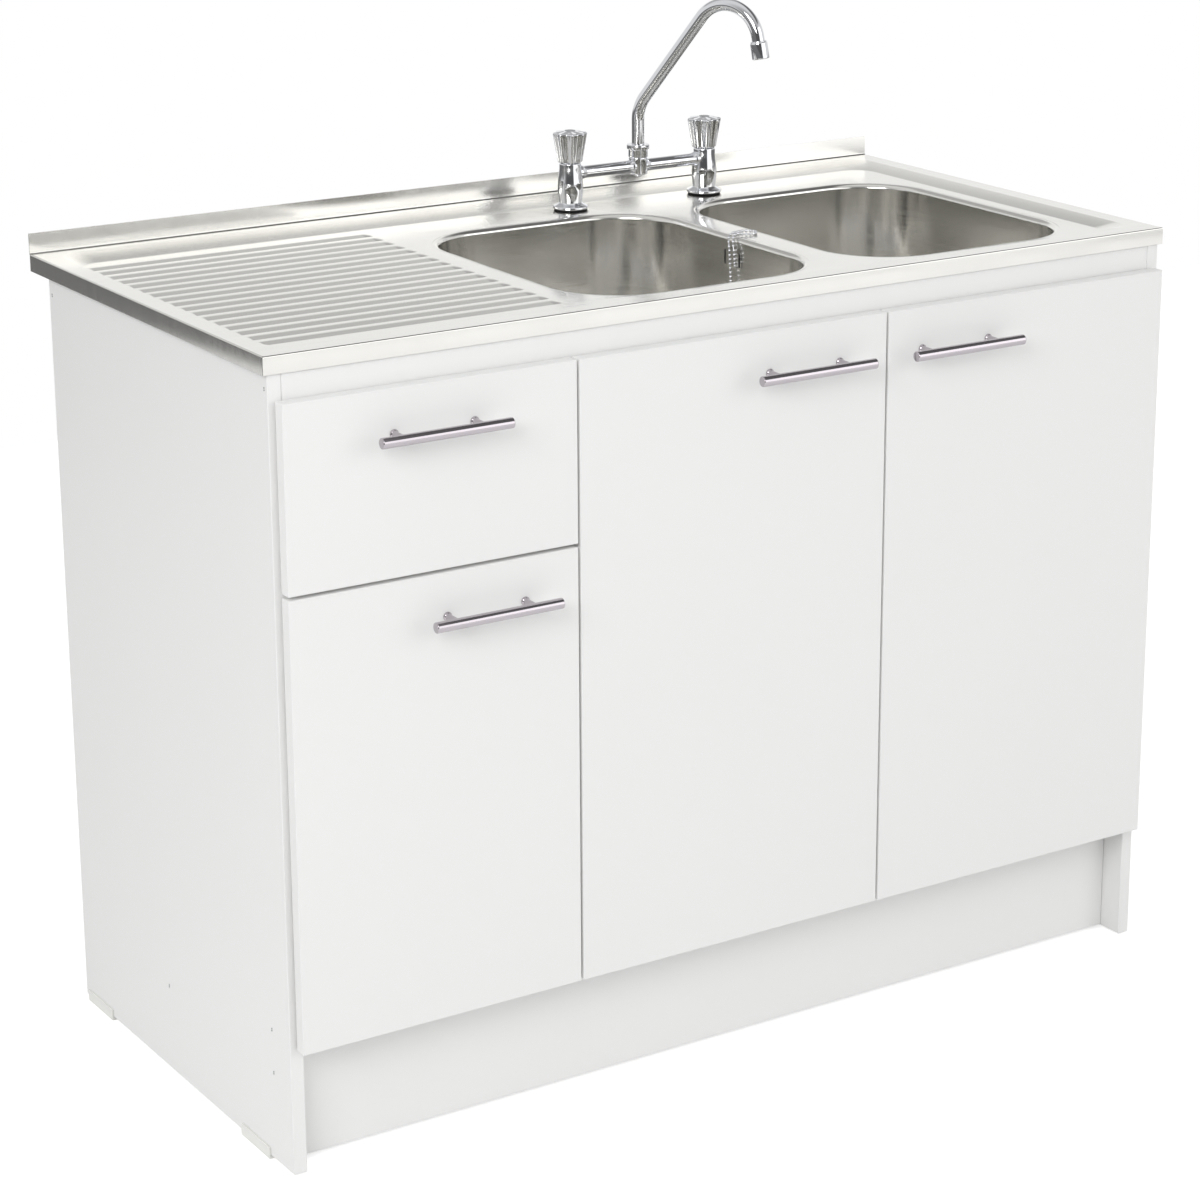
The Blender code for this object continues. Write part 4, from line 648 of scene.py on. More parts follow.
def add_edges(shape, rim_corners, rim_height):
    """The folded apron on three sides and the upstand at the back, from the rim outwards."""
    sink = settings().sink
    steps = 6
    low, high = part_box("sink_deck")
    front_left, front_right, back_right, back_left = rim_corners
    sheet_back = high.y - sink.sheet
    slit = sink.seam + sink.sheet
    left_rows = [[back_left, front_left]]
    front_rows = [[front_left, front_right]]
    right_rows = [[front_right, back_right]]
    back_rows = [[back_right, back_left]]
    for out, drop in quarter_bend(sink.bend, steps) + [(sink.bend, sink.apron)]:
        left = low.x + sink.bend - out
        right = high.x - sink.bend + out
        front = low.y + sink.bend - out
        height = rim_height - drop
        left_rows.append(add_ring(shape, ((left, sheet_back), (left, front + slit)), height))
        front_rows.append(add_ring(shape, ((left, front), (right, front)), height))
        right_rows.append(add_ring(shape, ((right, front + slit), (right, sheet_back)), height))
    for back, rise in quarter_bend(sink.upstand_bend, steps) + [(sink.upstand_bend, high.z - rim_height)]:
        depth = sheet_back - sink.upstand_bend + back
        back_rows.append(add_ring(shape, ((high.x, depth), (low.x, depth)), rim_height + rise))
    for rows in (left_rows, front_rows, right_rows, back_rows):
        skin_strip(shape, rows)
    bends = slice(1, steps + 1)
    for corner, ahead, behind in ((back_left, back_rows, left_rows), (back_right, right_rows, back_rows)):
        outer = [row[1] for row in ahead[bends]]
        shape.faces.new([corner] + outer + [row[0] for row in reversed(behind[bends])])


def smooth_step(share):
    """Rises from 0 to 1 with a soft start and end."""
    share = max(0.0, min(1.0, share))
    return share * share * (3 - 2 * share)


def slope_falls():
    """How far the slope into the tray has fallen at even steps: clear bends, and steeper at the foot."""
    steps = 28
    bend_share = 0.1
    start_share = 0.55
    tilts = []
    for step in range(steps):
        share = (step + 0.5) / steps
        bends = smooth_step(share / bend_share) * smooth_step((1 - share) / bend_share)
        tilts.append(bends * (start_share + (1 - start_share) * share))
    falls = [0.0]
    for tilt in tilts:
        falls.append(falls[-1] + tilt / sum(tilts))
    return falls


def add_grooves(shape, tray_height):
    """The drainer's grooves, steep at the front and rising slowly to the back. Gives their edges."""
    sink = settings().sink
    steps = 6
    tray_x, tray_y, _, _ = tray_span()
    ends = (tray_x[0] + sink.drainer_left, bowl_span("left")[0][0] - sink.drainer_right)
    run_out = [sink.groove_end * step / steps for step in range(steps + 1)]
    along = [ends[0] + run for run in run_out] + [ends[1] - run for run in reversed(run_out)]
    steep = [sink.groove_step * step / steps for step in range(steps)]
    rise = sink.groove_width - sink.groove_step
    across = steep + [sink.groove_step + rise * step / steps for step in range(steps + 1)]
    edges = []
    for index in range(sink.groove_count):
        front = tray_y[0] + sink.drainer_front + index * sink.groove_pitch
        rows = []
        for offset in across:
            fall = smooth_step(offset / sink.groove_step) * (sink.groove_width - offset) / rise
            row = []
            for x in along:
                share = smooth_step(min(x - ends[0], ends[1] - x) / sink.groove_end)
                depth = sink.groove_depth * min(1.0, fall) * share
                row.append(shape.verts.new((x, front + offset, tray_height - depth)))
            rows.append(row)
        skin_strip(shape, rows)
        right_side = [row[-1] for row in rows[1:-1]]
        left_side = [row[0] for row in reversed(rows[1:-1])]
        edges.append(rows[0] + right_side + rows[-1][::-1] + left_side)
    return edges


def make_sink_top():
    """The pressed sheet with its rim, sunk tray, drainer grooves and holes."""
    sink = settings().sink
    corner_steps = 12
    low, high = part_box("sink_deck")
    tray_x, tray_y, rim_height, tray_height = tray_span()
    shape = bmesh.new()
    rim_x = (low.x + sink.bend, high.x - sink.bend)
    rim_y = (low.y + sink.bend, high.y - sink.sheet - sink.upstand_bend)
    rim_corners = add_ring(shape, rectangle(rim_x, rim_y), rim_height)
    add_edges(shape, rim_corners, rim_height)
    slope_x = (tray_x[0] - sink.slope_left, tray_x[1] + sink.slope_right)
    slope_y = (tray_y[0] - sink.slope_front, tray_y[1] + sink.slope_back)
    rings = []
    falls = slope_falls()
    for step, drop in enumerate(falls):
        share = step / (len(falls) - 1)
        ring_x = [slope_x[side] + (tray_x[side] - slope_x[side]) * (share + drop) / 2 for side in (0, 1)]
        ring_y = [slope_y[side] + (tray_y[side] - slope_y[side]) * share for side in (0, 1)]
        corner = sink.tray_corner + sink.slope_left * (1 - share)
        points = rounded_rectangle(ring_x, ring_y, corner, corner_steps)
        rings.append(add_ring(shape, points, rim_height - (rim_height - tray_height) * drop))
    skin_rings(shape, rings, ends=False)
    fill_between(shape, [rim_corners, rings[0]])
    holes = add_grooves(shape, tray_height)
    for side in SIDES:
        bowl_x, bowl_y = bowl_span(side)
        mouth = rounded_rectangle(bowl_x, bowl_y, sink.bowl_corner, BOWL_STEPS)
        tap = middle("gasket_" + side)
        tap_hole = circle((tap.x, tap.y), sink.tap_hole, sides=32)
        holes += [add_ring(shape, outline, tray_height) for outline in (mouth, tap_hole)]
    fill_between(shape, [rings[-1]] + holes)
    piece = add_piece("sink_top", shape, "brushed_steel_deck", ["sink_deck"], crease=50.0, faces_up=True)
    thicken(piece, sink.sheet)


def make_bowl(side):
    """A drawn bowl: rolled lip, straight walls, wide foot and a floor that falls to the waste."""
    sink = settings().sink
    lip_steps = 8
    foot_steps = 14
    floor_steps = 5
    nearly_round = 0.98
    bowl_x, bowl_y = bowl_span(side)
    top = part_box("sink_bowl_" + side)[1].z
    waste = middle("waste_" + side)
    wall = sink.bowl_ledge + sink.bowl_lip
    foot = sink.bowl_depth - sink.bowl_foot
    rows = [(0.0, 0.0), (sink.bowl_ledge, 0.0)]
    rows += [(sink.bowl_ledge + out, drop) for out, drop in quarter_bend(sink.bowl_lip, lip_steps)]
    rows += [(wall + out, foot + drop) for drop, out in quarter_bend(sink.bowl_foot, foot_steps, start=0)]
    shape = bmesh.new()
    rings = []
    for inset, drop in rows:
        outline = rounded_rectangle(bowl_x, bowl_y, sink.bowl_corner, BOWL_STEPS, inset)
        rings.append(add_ring(shape, outline, top - drop))
    hole_x = (waste.x - sink.waste_hole, waste.x + sink.waste_hole)
    hole_y = (waste.y - sink.waste_hole, waste.y + sink.waste_hole)
    hole = rounded_rectangle(hole_x, hole_y, sink.waste_hole * nearly_round, BOWL_STEPS)
    for step in range(1, floor_steps + 1):
        share = step / floor_steps
        blend = [(x + (end_x - x) * share, y + (end_y - y) * share)
                 for (x, y), (end_x, end_y) in zip(outline, hole)]
        rings.append(add_ring(shape, blend, top - sink.bowl_depth - sink.bowl_fall * share))
    skin_rings(shape, rings, ends=False)
    piece = add_piece("bowl_" + side, shape, "brushed_steel_bowl", ["sink_bowl_" + side], faces_up=True)
    thicken(piece, sink.sheet)


# Wastes, overflow, plug and chain

def make_waste(side):
    """A flanged waste with a dished rim and a cross in its bore."""
    waste = settings().waste
    node = "waste_" + side
    low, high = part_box(node)
    place, radius = stand(node)
    seat = high.z - waste.flange
    rim = [
        (waste.bore, high.z - waste.dish), (waste.bore + waste.dish, high.z - waste.dish),
        (radius - waste.edge * 4, high.z), (radius, high.z), (radius, seat)]
    profile = [(waste.bore, low.z)] + eased(rim, waste.edge) + [(waste.tail, seat), (waste.tail, low.z)]
    shape = bmesh.new()
    add_turned(shape, profile, place, looped=True)
    half = waste.bar / 2
    reach = waste.bore + HAIR
    top = seat - waste.bar_drop
    for x, y in ((reach, half), (half, reach)):
        add_block(shape, (place.x - x, place.y - y, top - waste.bar), (place.x + x, place.y + y, top))
    add_piece("drain_" + side, shape, "polished_steel", [node])


def make_overflow():
    """The overflow cover: a pressed plate with two slots, and the pipe behind it. The pipe's black and the
    black blocks in the slots are painted shade of the hollow behind the slots.
    """
    waste = settings().waste
    slope_steps = 4
    corner_steps = 8
    low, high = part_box("overflow_cover")
    back = low.x + waste.cover_thickness
    rise = waste.cover_proud - waste.cover_rim
    rows = [(0.0, back)]
    for step in range(slope_steps + 1):
        share = step / slope_steps
        swell = rise * math.sin(share * math.pi / 2)
        rows.append((waste.cover_slope * share, back - waste.cover_rim - swell))
    shape = bmesh.new()
    rings = []
    for inset, x in rows:
        outline = rounded_rectangle((low.y, high.y), (low.z, high.z), waste.cover_corner, corner_steps, inset)
        rings.append([shape.verts.new((x, y, z)) for y, z in outline])
    skin_rings(shape, rings)
    piece = add_piece("overflow_plate", shape, "brushed_steel_bowl", ["overflow_cover"])
    slots = bmesh.new()
    pipe = bmesh.new()
    centre = middle("overflow_cover")
    half = Vector((0.0, waste.slot_width / 2, waste.slot_height / 2))
    gap = Vector((0.0, HAIR / 2, HAIR / 2))
    # Each slot gets a black block, painted shade of the hollow behind the slot, with its face just below the
    # cover's face
    slot_shade = back - waste.cover_proud + waste.slot_shade_depth
    for way in (-0.5, 0.5):
        slot = centre.y + way * waste.slot_spacing
        outside, inside, front, rear = (
            Vector((x, slot, centre.z)) for x in (low.x - HAIR, back + HAIR, slot_shade, back))
        add_block(slots, outside - half, inside + half)
        add_block(pipe, front - half + gap, rear + half - gap)
    cut(piece, slots)
    # The pipe stands for the real overflow pipe; its black rubber is painted shade of the hollow behind the
    # slots
    pipe_profile = [(waste.pipe, back), (waste.pipe, high.x)]
    add_turned(pipe, pipe_profile, (0.0, centre.y, centre.z), sides=32, axes=ALONG_X)
    add_piece("overflow_pipe_and_slot_shade", pipe, "moulded_rubber")


def make_plug():
    """The rubber plug in the left waste, with the post that holds the chain."""
    waste = settings().waste
    low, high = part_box("plug")
    place, radius = stand("plug")
    shoulder = low.z + waste.plug_height
    post_foot = waste.plug_post * 1.6
    rounding = waste.plug_edge * 0.6
    profile = eased([
        (0.0, low.z), (waste.plug_foot, low.z), (radius, shoulder - waste.plug_edge),
        (radius - HAIR, shoulder), (post_foot, shoulder), (waste.plug_post, shoulder + waste.plug_edge),
        (waste.plug_post, high.z), (0.0, high.z)], rounding)
    shape = bmesh.new()
    add_turned(shape, profile, place)
    return add_piece("bath_plug", shape, "moulded_rubber", ["plug"])


def chain_route():
    """Points that the chain hangs through, from the overflow over the divider and down to the plug."""
    points = (
        (0.1500, -0.0230, 0.8800), (0.1478, -0.0255, 0.8815), (0.1464, -0.0270, 0.8880),
        (0.1464, -0.0258, 0.8985), (0.1476, -0.0218, 0.9085), (0.1510, -0.0178, 0.9152),
        (0.1580, -0.0165, 0.9174), (0.1660, -0.0180, 0.9164), (0.1745, -0.0208, 0.9162),
        (0.1825, -0.0188, 0.9162), (0.1868, -0.0120, 0.9162), (0.1852, -0.0042, 0.9162),
        (0.1790, 0.0000, 0.9162), (0.1710, -0.0010, 0.9162), (0.1645, -0.0045, 0.9164),
        (0.1580, -0.0078, 0.9174), (0.1510, -0.0098, 0.9152), (0.1476, -0.0130, 0.9080),
        (0.1466, -0.0168, 0.8900), (0.1465, -0.0188, 0.8600), (0.1456, -0.0198, 0.8300),
        (0.1412, -0.0206, 0.8040), (0.1290, -0.0216, 0.7840), (0.1100, -0.0216, 0.7716),
        (0.0850, -0.0198, 0.7672), (0.0600, -0.0170, 0.7668), (0.0400, -0.0150, 0.7680),
        (0.0220, -0.0147, 0.7692), (0.0060, -0.0149, 0.7704), (-0.0053, -0.0150, 0.7704),
    )
    return [Vector(point) for point in points]


def smooth_path(points, steps):
    """A curve through the points, with so many steps from each to the next."""
    path = []
    for index in range(len(points) - 1):
        before = points[max(index - 1, 0)]
        first = points[index]
        second = points[index + 1]
        after = points[min(index + 2, len(points) - 1)]
        for step in range(steps):
            t = step / steps
            path.append(0.5 * (2 * first + (second - before) * t
                               + (2 * before - 5 * first + 4 * second - after) * t ** 2
                               + (3 * first - before - 3 * second + after) * t ** 3))
    path.append(points[-1])
    return path


def walk(path, distances):
    """Points on a path at rising distances from its start."""
    found = []
    index = 0
    passed = 0.0
    step = (path[1] - path[0]).length
    for distance in distances:
        while distance > passed + step and index < len(path) - 2:
            passed += step
            index += 1
            step = (path[index + 1] - path[index]).length
        found.append(path[index].lerp(path[index + 1], min(1.0, (distance - passed) / step)))
    return found


def make_chain(plug):
    """The ball chain as one beaded string."""
    chain = settings().chain
    bead_shares = (-1.0, -0.8, -0.5, 0.0, 0.5, 0.8, 1.0)
    path = smooth_path(chain_route(), steps=12)
    whole = sum((after - before).length for before, after in zip(path, path[1:]))
    bead = chain.bead / 2
    wire = chain.wire / 2
    neck = math.sqrt(bead ** 2 - wire ** 2)
    count = int((whole - chain.bead) / chain.pitch)
    distances = []
    radii = []
    for index in range(count + 1):
        centre = bead + index * (whole - chain.bead) / count
        for share in bead_shares:
            distances.append(centre + share * neck)
            radii.append(math.sqrt(bead ** 2 - (share * neck) ** 2))
    shape = bmesh.new()
    add_swept(shape, walk(path, distances), radii, sides=10)
    piece = add_piece("ball_chain", shape, "polished_chrome", ["plug_chain"])


# Mixer

def frame_joint(name):
    """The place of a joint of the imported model."""
    joint = next(joint for joint in frame["joints"] if joint["name"] == name)
    return Vector(joint["pos_m"])


def add_pillar(shape, tap, seat, top, tail_end):
    """A pillar from its threaded tail over its flange and swell up to its bonnet and spindle."""
    mixer = settings().mixer
    flange_top = seat + mixer.flange_height
    waist = (mixer.pillar, flange_top + mixer.ease)
    neck = (mixer.bonnet, top - mixer.bonnet_height)
    foot = eased([
        (mixer.tail, seat), (mixer.flange - mixer.flange_lip, seat),
        (mixer.flange - HAIR, seat - mixer.flange_lip), (mixer.flange, seat + mixer.flange_rim),
        (mixer.pillar + mixer.ease, flange_top), waist], mixer.ease)
    swell = eased([waist, (mixer.bulge, seat + mixer.bulge_height), neck], mixer.bulge_height, steps=16)
    bonnet = eased([neck, (mixer.bonnet, top), (mixer.spindle, top)], mixer.ease)
    spindle = (mixer.spindle, top + mixer.spindle_height)
    profile = [(mixer.tail, tail_end)] + foot[:-1] + swell[:-1] + bonnet + [spindle]
    add_turned(shape, profile, (tap.x, tap.y, 0.0))


def make_mixer():
    """The two pillars, the pipe between them and the hub, as they stand on the sink top."""
    mixer = settings().mixer
    flare_steps = 10
    clear_share = 0.9
    tuck = mixer.hub * 0.4
    taps = [middle("gasket_" + side) for side in SIDES]
    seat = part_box("gasket_left")[1].z + HAIR
    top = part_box("knob_left")[0].z - HAIR
    axis = seat + mixer.bridge_height
    shape = bmesh.new()
    for tap in taps:
        add_pillar(shape, tap, seat, top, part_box("mixer_body")[0].z)
    hub, _ = stand("spout_nut")
    hub_top = frame_joint("spout_swivel").z
    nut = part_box("spout_nut")[0].z - HAIR
    under = axis - mixer.hub
    hub_profile = eased([
        (0.0, under - mixer.hub_drop), (mixer.hub_foot, under - mixer.hub_drop), (mixer.hub_foot, under),
        (mixer.hub_body, under), (mixer.hub_body, nut), (mixer.hub, nut), (mixer.hub, hub_top),
        (0.0, hub_top)], mixer.ease)
    add_turned(shape, hub_profile, hub)
    spread = mixer.bridge_flare - mixer.bridge
    flare = []
    for step in range(flare_steps + 1):
        share = step / flare_steps
        flare.append((mixer.bridge + spread * (1 - share) ** 2, mixer.flare_length * step / flare_steps))
    reaches = ((taps[0].x, mixer.bulge, hub.x, mixer.hub), (hub.x, mixer.hub, taps[1].x, mixer.bulge))
    for start, start_radius, end, end_radius in reaches:
        first = start + start_radius * clear_share
        last = end - end_radius * clear_share
        near = [(radius, first + along) for radius, along in flare]
        far = [(radius, last + first - along) for radius, along in reversed(near)]
        profile = [(mixer.bridge_flare, first - tuck)] + near + far + [(mixer.bridge_flare, last + tuck)]
        add_turned(shape, profile, (0.0, hub.y, axis), sides=48, axes=ALONG_X)
    add_piece("mixer_bridge", shape, "polished_chrome", ["mixer_body"], crease=50.0)


def make_gasket(side):
    """A black ring below a pillar's flange."""
    node = "gasket_" + side
    low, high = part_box(node)
    radius = stand(node)[1] - HAIR * 4
    hole = settings().sink.tap_hole
    half = (high.z - low.z) / 2
    shape = bmesh.new()
    profile = eased([(hole, -half), (radius, -half), (radius, half), (hole, half)], half)
    add_turned(shape, profile, middle(node), looped=True)
    add_piece("washer_" + side, shape, "moulded_rubber", [node])


def make_union_nut():
    """The nut that keeps the spout on the hub, with a wider collar at its top."""
    mixer = settings().mixer
    low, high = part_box("spout_nut")
    place, collar = stand("spout_nut")
    bore = mixer.hub + HAIR
    throat = settings().spout.tube + HAIR
    shelf = high.z - mixer.nut_collar
    rounding = mixer.ease * 0.7
    outside = eased([
        (bore, low.z), (mixer.nut, low.z), (mixer.nut, shelf), (collar, shelf), (collar, high.z),
        (throat, high.z)], rounding)
    shape = bmesh.new()
    add_turned(shape, outside + [(throat, shelf), (bore, shelf)], place, looped=True)
    add_piece("union_nut", shape, "polished_chrome", ["spout_nut"])


def make_knob(side):
    """A knob that widens upwards, with broad flutes and a low crown."""
    knob = settings().knob
    ease_steps = 6
    side_steps = 5
    flute_steps = 16
    node = "knob_" + side
    low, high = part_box(node)
    place, _ = stand(node)
    bore = settings().mixer.spindle * 1.5
    shoulder = high.z - knob.crown
    crown = (knob.head - knob.edge * 2, shoulder + knob.crown * 0.3)
    outline = eased([
        (bore, low.z), (knob.foot, low.z), (knob.head, shoulder), crown, (knob.index, high.z - HAIR),
        (HAIR, high.z - HAIR)], knob.edge, ease_steps)
    flank = ease_steps + 2
    shares = [step / side_steps for step in range(1, side_steps)]
    outline[flank:flank] = [outline[flank - 1].lerp(outline[flank], share) for share in shares]
    count = knob.flutes * flute_steps
    shape = bmesh.new()
    rings = []
    for radius, height in outline:
        rise = min(1.0, (height - low.z) / (shoulder - low.z))
        depth = knob.flute_foot + (knob.flute_head - knob.flute_foot) * rise
        inward = max(0.0, min(1.0, (radius - knob.index) / (knob.foot - knob.index)))
        points = []
        for step in range(count):
            turn = 2 * math.pi * step / count
            wave = (0.5 + 0.5 * math.cos(knob.flutes * turn)) ** knob.flute_breadth
            reach = radius - depth * wave * inward
            points.append((place.x + reach * math.cos(turn), place.y + reach * math.sin(turn)))
        rings.append(add_ring(shape, points, height))
    skin_rings(shape, rings)
    add_piece("tap_knob_" + side, shape, "polished_chrome", [node], body=node, crease=60.0)
    disc = bmesh.new()
    reach = knob.index - HAIR
    disc_foot = high.z - knob.edge
    profile = eased([(0.0, disc_foot), (reach, disc_foot), (reach, high.z), (0.0, high.z)], HAIR)
    add_turned(disc, profile, place)
    add_piece("tap_index_" + side, disc, "index_plastic", body=node)


def spout_path():
    """The spout's centreline from the hub to its end, and its direction there."""
    spout = settings().spout
    ahead = Vector((math.sin(spout.heading), -math.cos(spout.heading), 0.0))
    point = frame_joint("spout_swivel")
    lean = 0.0
    points = [point.copy()]
    # Each stretch: its length, its turn and its number of steps
    stretches = (
        (spout.rise, 0.0, 4), (spout.elbow * spout.elbow_turn, spout.elbow_turn, 14), (spout.run, 0.0, 4),
        (spout.arch * spout.arch_turn, spout.arch_turn, 36), (spout.end, 0.0, 2))
    for distance, turn, steps in stretches:
        for _ in range(steps):
            lean += turn / steps / 2
            point = point + (ahead * math.sin(lean) + Z_AXIS * math.cos(lean)) * (distance / steps)
            lean += turn / steps / 2
            points.append(point.copy())
    return points, ahead * math.sin(lean) + Z_AXIS * math.cos(lean)


def make_spout():
    """The swivel spout: one bent tube, its aerator and the grille inside that."""
    spout = settings().spout
    points, down = spout_path()
    points[0] = points[0] + Z_AXIS * HAIR
    shape = bmesh.new()
    add_swept(shape, points, [spout.tube] * len(points), sides=64)
    add_piece("spout_tube", shape, "polished_chrome", ["spout"], body="spout")
    edge = spout.aerator * 0.12
    neck = spout.aerator * 0.92
    foot = spout.aerator_length
    mouth = foot * 0.8
    grille_top = foot * 0.7
    grille_foot = foot * 0.88
    outside = eased([
        (spout.tube, 0.0), (neck, 0.0), (neck, edge), (spout.aerator, edge * 2), (spout.aerator, foot),
        (spout.aerator_bore, foot), (spout.aerator_bore, mouth)], edge)
    bore = spout.aerator_bore
    grille = [(0.0, grille_top), (bore, grille_top), (bore, grille_foot), (0.0, grille_foot)]
    start = points[-1] - down * spout.aerator_cover
    side = down.orthogonal().normalized()
    axes = (down, side, down.cross(side))
    turned = (
        ("spout_aerator", outside, "polished_chrome", ["aerator"]),
        ("aerator_grille", grille, "index_plastic", []))
    for name, profile, finish, nodes in turned:
        shape = bmesh.new()
        add_turned(shape, profile, start, axes=axes)
        add_piece(name, shape, finish, nodes, body="spout")


# Cabinet

def make_handle(owner):
    """A bar handle on two posts, with softly rounded ends."""
    handle = settings().handle
    node = owner + "_handle"
    low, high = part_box(node)
    centre = middle(node)
    axis = low.y + handle.bar
    shape = bmesh.new()
    bar = eased(
        [(0.0, low.x), (handle.bar, low.x), (handle.bar, high.x), (0.0, high.x)], handle.bar_edge, steps=6)
    add_turned(shape, bar, (0.0, axis, centre.z), sides=48, axes=ALONG_X)
    post = eased([
        (handle.post, axis), (handle.post, high.y - handle.post), (handle.post_foot, high.y - HAIR * 4),
        (handle.post_foot, high.y)], handle.bar_edge)
    for way in (-0.5, 0.5):
        place = (centre.x + way * handle.spacing, 0.0, centre.z)
        add_turned(shape, post, place, sides=40, axes=ALONG_Y)
    add_piece("bar_" + node, shape, "satin_nickel_plate", [node], body=owner)


def make_screws(side):
    """The screw heads that show in a side panel."""
    screw = settings().screw
    low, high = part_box("side_panel_" + side)
    face, out = (low.x, -1.0) if side == "left" else (high.x, 1.0)
    heads = bmesh.new()
    crosses = bmesh.new()
    root = face - out * screw.proud * 2
    crown = face + out * screw.proud
    crown_radius = screw.head * 0.75
    rounding = screw.proud * 0.6
    reach = screw.cross / 2
    half = screw.cross_width / 2
    profile = eased(
        [(0.0, root), (screw.head, root), (screw.head, face), (crown_radius, crown), (0.0, crown)], rounding)
    ends = sorted((face - out * screw.proud, crown + out * screw.proud))
    for y, z in SCREW_PLACES:
        add_turned(heads, profile, (0.0, y, z), sides=32, axes=ALONG_X)
        add_block(crosses, (ends[0], y - reach, z - half), (ends[1], y + reach, z + half))
        add_block(crosses, (ends[0], y - half, z - reach), (ends[1], y + half, z - half))
        add_block(crosses, (ends[0], y - half, z + half), (ends[1], y + half, z + reach))
    piece = add_piece("panel_screws_" + side, heads, "dull_zinc_plate")
    cut(piece, crosses)


def dress(nodes, finish):
    """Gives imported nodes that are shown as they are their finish."""
    for name in nodes:
        node = frame["nodes"][name]
        node.data.materials.clear()
        node.data.materials.append(bpy.data.materials[finish])


def board_nodes():
    """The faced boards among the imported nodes."""
    boards = [
        "partition", "bottom_panel", "front_rail", "rear_rail", "plinth", "plinth_support", "drawer_front",
        "drawer_back"]
    for side in SIDES:
        boards += ["side_panel_" + side, "drawer_side_" + side]
    return boards + list(DOORS)


def hinge_nodes():
    """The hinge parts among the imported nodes."""
    kinds = ("lower_hinge_arm", "upper_hinge_arm", "lower_hinge_cup", "upper_hinge_cup")
    return [door + "_" + kind for door in DOORS for kind in kinds]


# Stage

def make_floor():
    """A plain pale floor that keeps the shadow, with light added where the camera sees it and a share of that
    light where a mirror sees it.
    """
    stage = settings().stage
    # Matt paper with a faint fibre: even and without a gleam
    material = start_finish("pale_floor_paper", settings().colours.floor, roughness=0.9)
    add_pattern(material, FIBRE_SIZES, darker=0.995)
    tree = material.node_tree
    shader = tree.nodes["Principled BSDF"]
    seen = add_node(tree, "ShaderNodeLightPath")
    mirrored = add_node(tree, "ShaderNodeMath", {
        0: seen.outputs["Is Glossy Ray"], 1: seen.outputs["Is Transmission Ray"]}, operation="MAXIMUM")
    dimmed = add_node(tree, "ShaderNodeMath", {
        0: mirrored.outputs["Value"], 1: stage.mirror_share, 2: seen.outputs["Is Camera Ray"]},
        operation="MULTIPLY_ADD")
    glow = add_node(tree, "ShaderNodeMath", {
        0: dimmed.outputs["Value"], 1: stage.floor_glow}, operation="MULTIPLY")
    shader.inputs["Emission Color"].default_value = (1.0, 1.0, 1.0, 1.0)
    tree.links.new(glow.outputs["Value"], shader.inputs["Emission Strength"])
    shape = bmesh.new()
    half = stage.floor_size / 2
    outline = rectangle((-half, half), (-stage.floor_front, stage.floor_back))
    shape.faces.new(add_ring(shape, outline, 0.0))
    mesh = make_mesh("floor", shape, faces_up=True)
    mesh.materials.append(material)
    floor = add_object("floor", mesh)


def make_world():
    """A soft studio room: bright behind the object, darker on the camera's side, white to the eye."""
    stage = settings().stage
    world = bpy.data.worlds.new("soft_studio")
    bpy.context.scene.world = world
    world.use_nodes = True
    tree = world.node_tree
    place = add_node(tree, "ShaderNodeTexCoord")
    way = add_node(tree, "ShaderNodeSeparateXYZ", {"Vector": place.outputs["Generated"]})
    away = add_node(tree, "ShaderNodeVectorMath", {
        0: place.outputs["Generated"], 1: AWAY_FROM_CAMERA}, operation="DOT_PRODUCT")
    seen = add_node(tree, "ShaderNodeLightPath")
    depth = away.outputs["Value"]
    parts = {
        "camera": seen.outputs["Is Camera Ray"], "glossy": seen.outputs["Is Glossy Ray"],
        "through": seen.outputs["Is Transmission Ray"]}
    # Each zone: the measure that tells it, the measure's two ends, and the zone's level at each of them
    zones = {
        "front": (depth, -0.9, -0.35, stage.front, stage.side),
        "behind": (depth, 0.74, 0.9, 0.0, 1.0),
        "above": (way.outputs["Z"], 0.37, 0.47, 0.0, 1.0),
        "lofty": (depth, 0.1, 0.4, 0.0, 1.0),
        "over_front": (depth, -0.75, -0.3, stage.canopy, stage.ceiling),
        "low_down": (way.outputs["Z"], -0.02, -0.08, 0.0, 1.0),
        "at_right": (way.outputs["X"], 0.25, 0.42, 0.0, 1.0),
        "high_up": (way.outputs["Z"], 0.5, 0.62, 0.0, 1.0),
        "not_behind": (way.outputs["Y"], 0.55, 0.3, 0.0, 1.0),
    }
    for name, (measure, start, end, first, last) in zones.items():
        zone = add_node(tree, "ShaderNodeMapRange", {
            "Value": measure, "From Min": start, "From Max": end, "To Min": first, "To Max": last},
            interpolation_type="SMOOTHSTEP")
        parts[name] = zone.outputs["Result"]
    # Where the dark card is, and what is white: the room to the eye, and the low room behind to a mirror
    shares = {
        "over_right": ("MULTIPLY", "at_right", "high_up"),
        "flagged": ("MULTIPLY", "over_right", "not_behind"),
        "mirrored": ("MAXIMUM", "glossy", "through"),
        "below": ("SUBTRACT", 1.0, "above"),
        "low_behind": ("MULTIPLY", "below", "behind"),
        "backdrop": ("MULTIPLY", "mirrored", "low_behind"),
        "white": ("MAXIMUM", "camera", "backdrop"),
    }
    for name, (operation, first, second) in shares.items():
        share = add_node(tree, "ShaderNodeMath", {
            0: parts.get(first, first), 1: parts[second]}, operation=operation)
        parts[name] = share.outputs["Value"]
    # The room, put together from its zones
    blends = {
        "round_room": ("behind", "front", stage.back),
        "overhead": ("lofty", "over_front", stage.loft),
        "above_floor": ("low_down", "round_room", stage.below),
        "under_ceiling": ("above", "above_floor", "overhead"),
        "room": ("flagged", "under_ceiling", stage.flag),
        "shown": ("white", "room", 1.0),
    }
    for name, (share, first, second) in blends.items():
        blend = add_node(tree, "ShaderNodeMix", {
            "Factor": parts[share], "A": parts[first], "B": parts.get(second, second)})
        parts[name] = blend.outputs["Result"]
    tree.links.new(parts["shown"], tree.nodes["Background"].inputs["Color"])


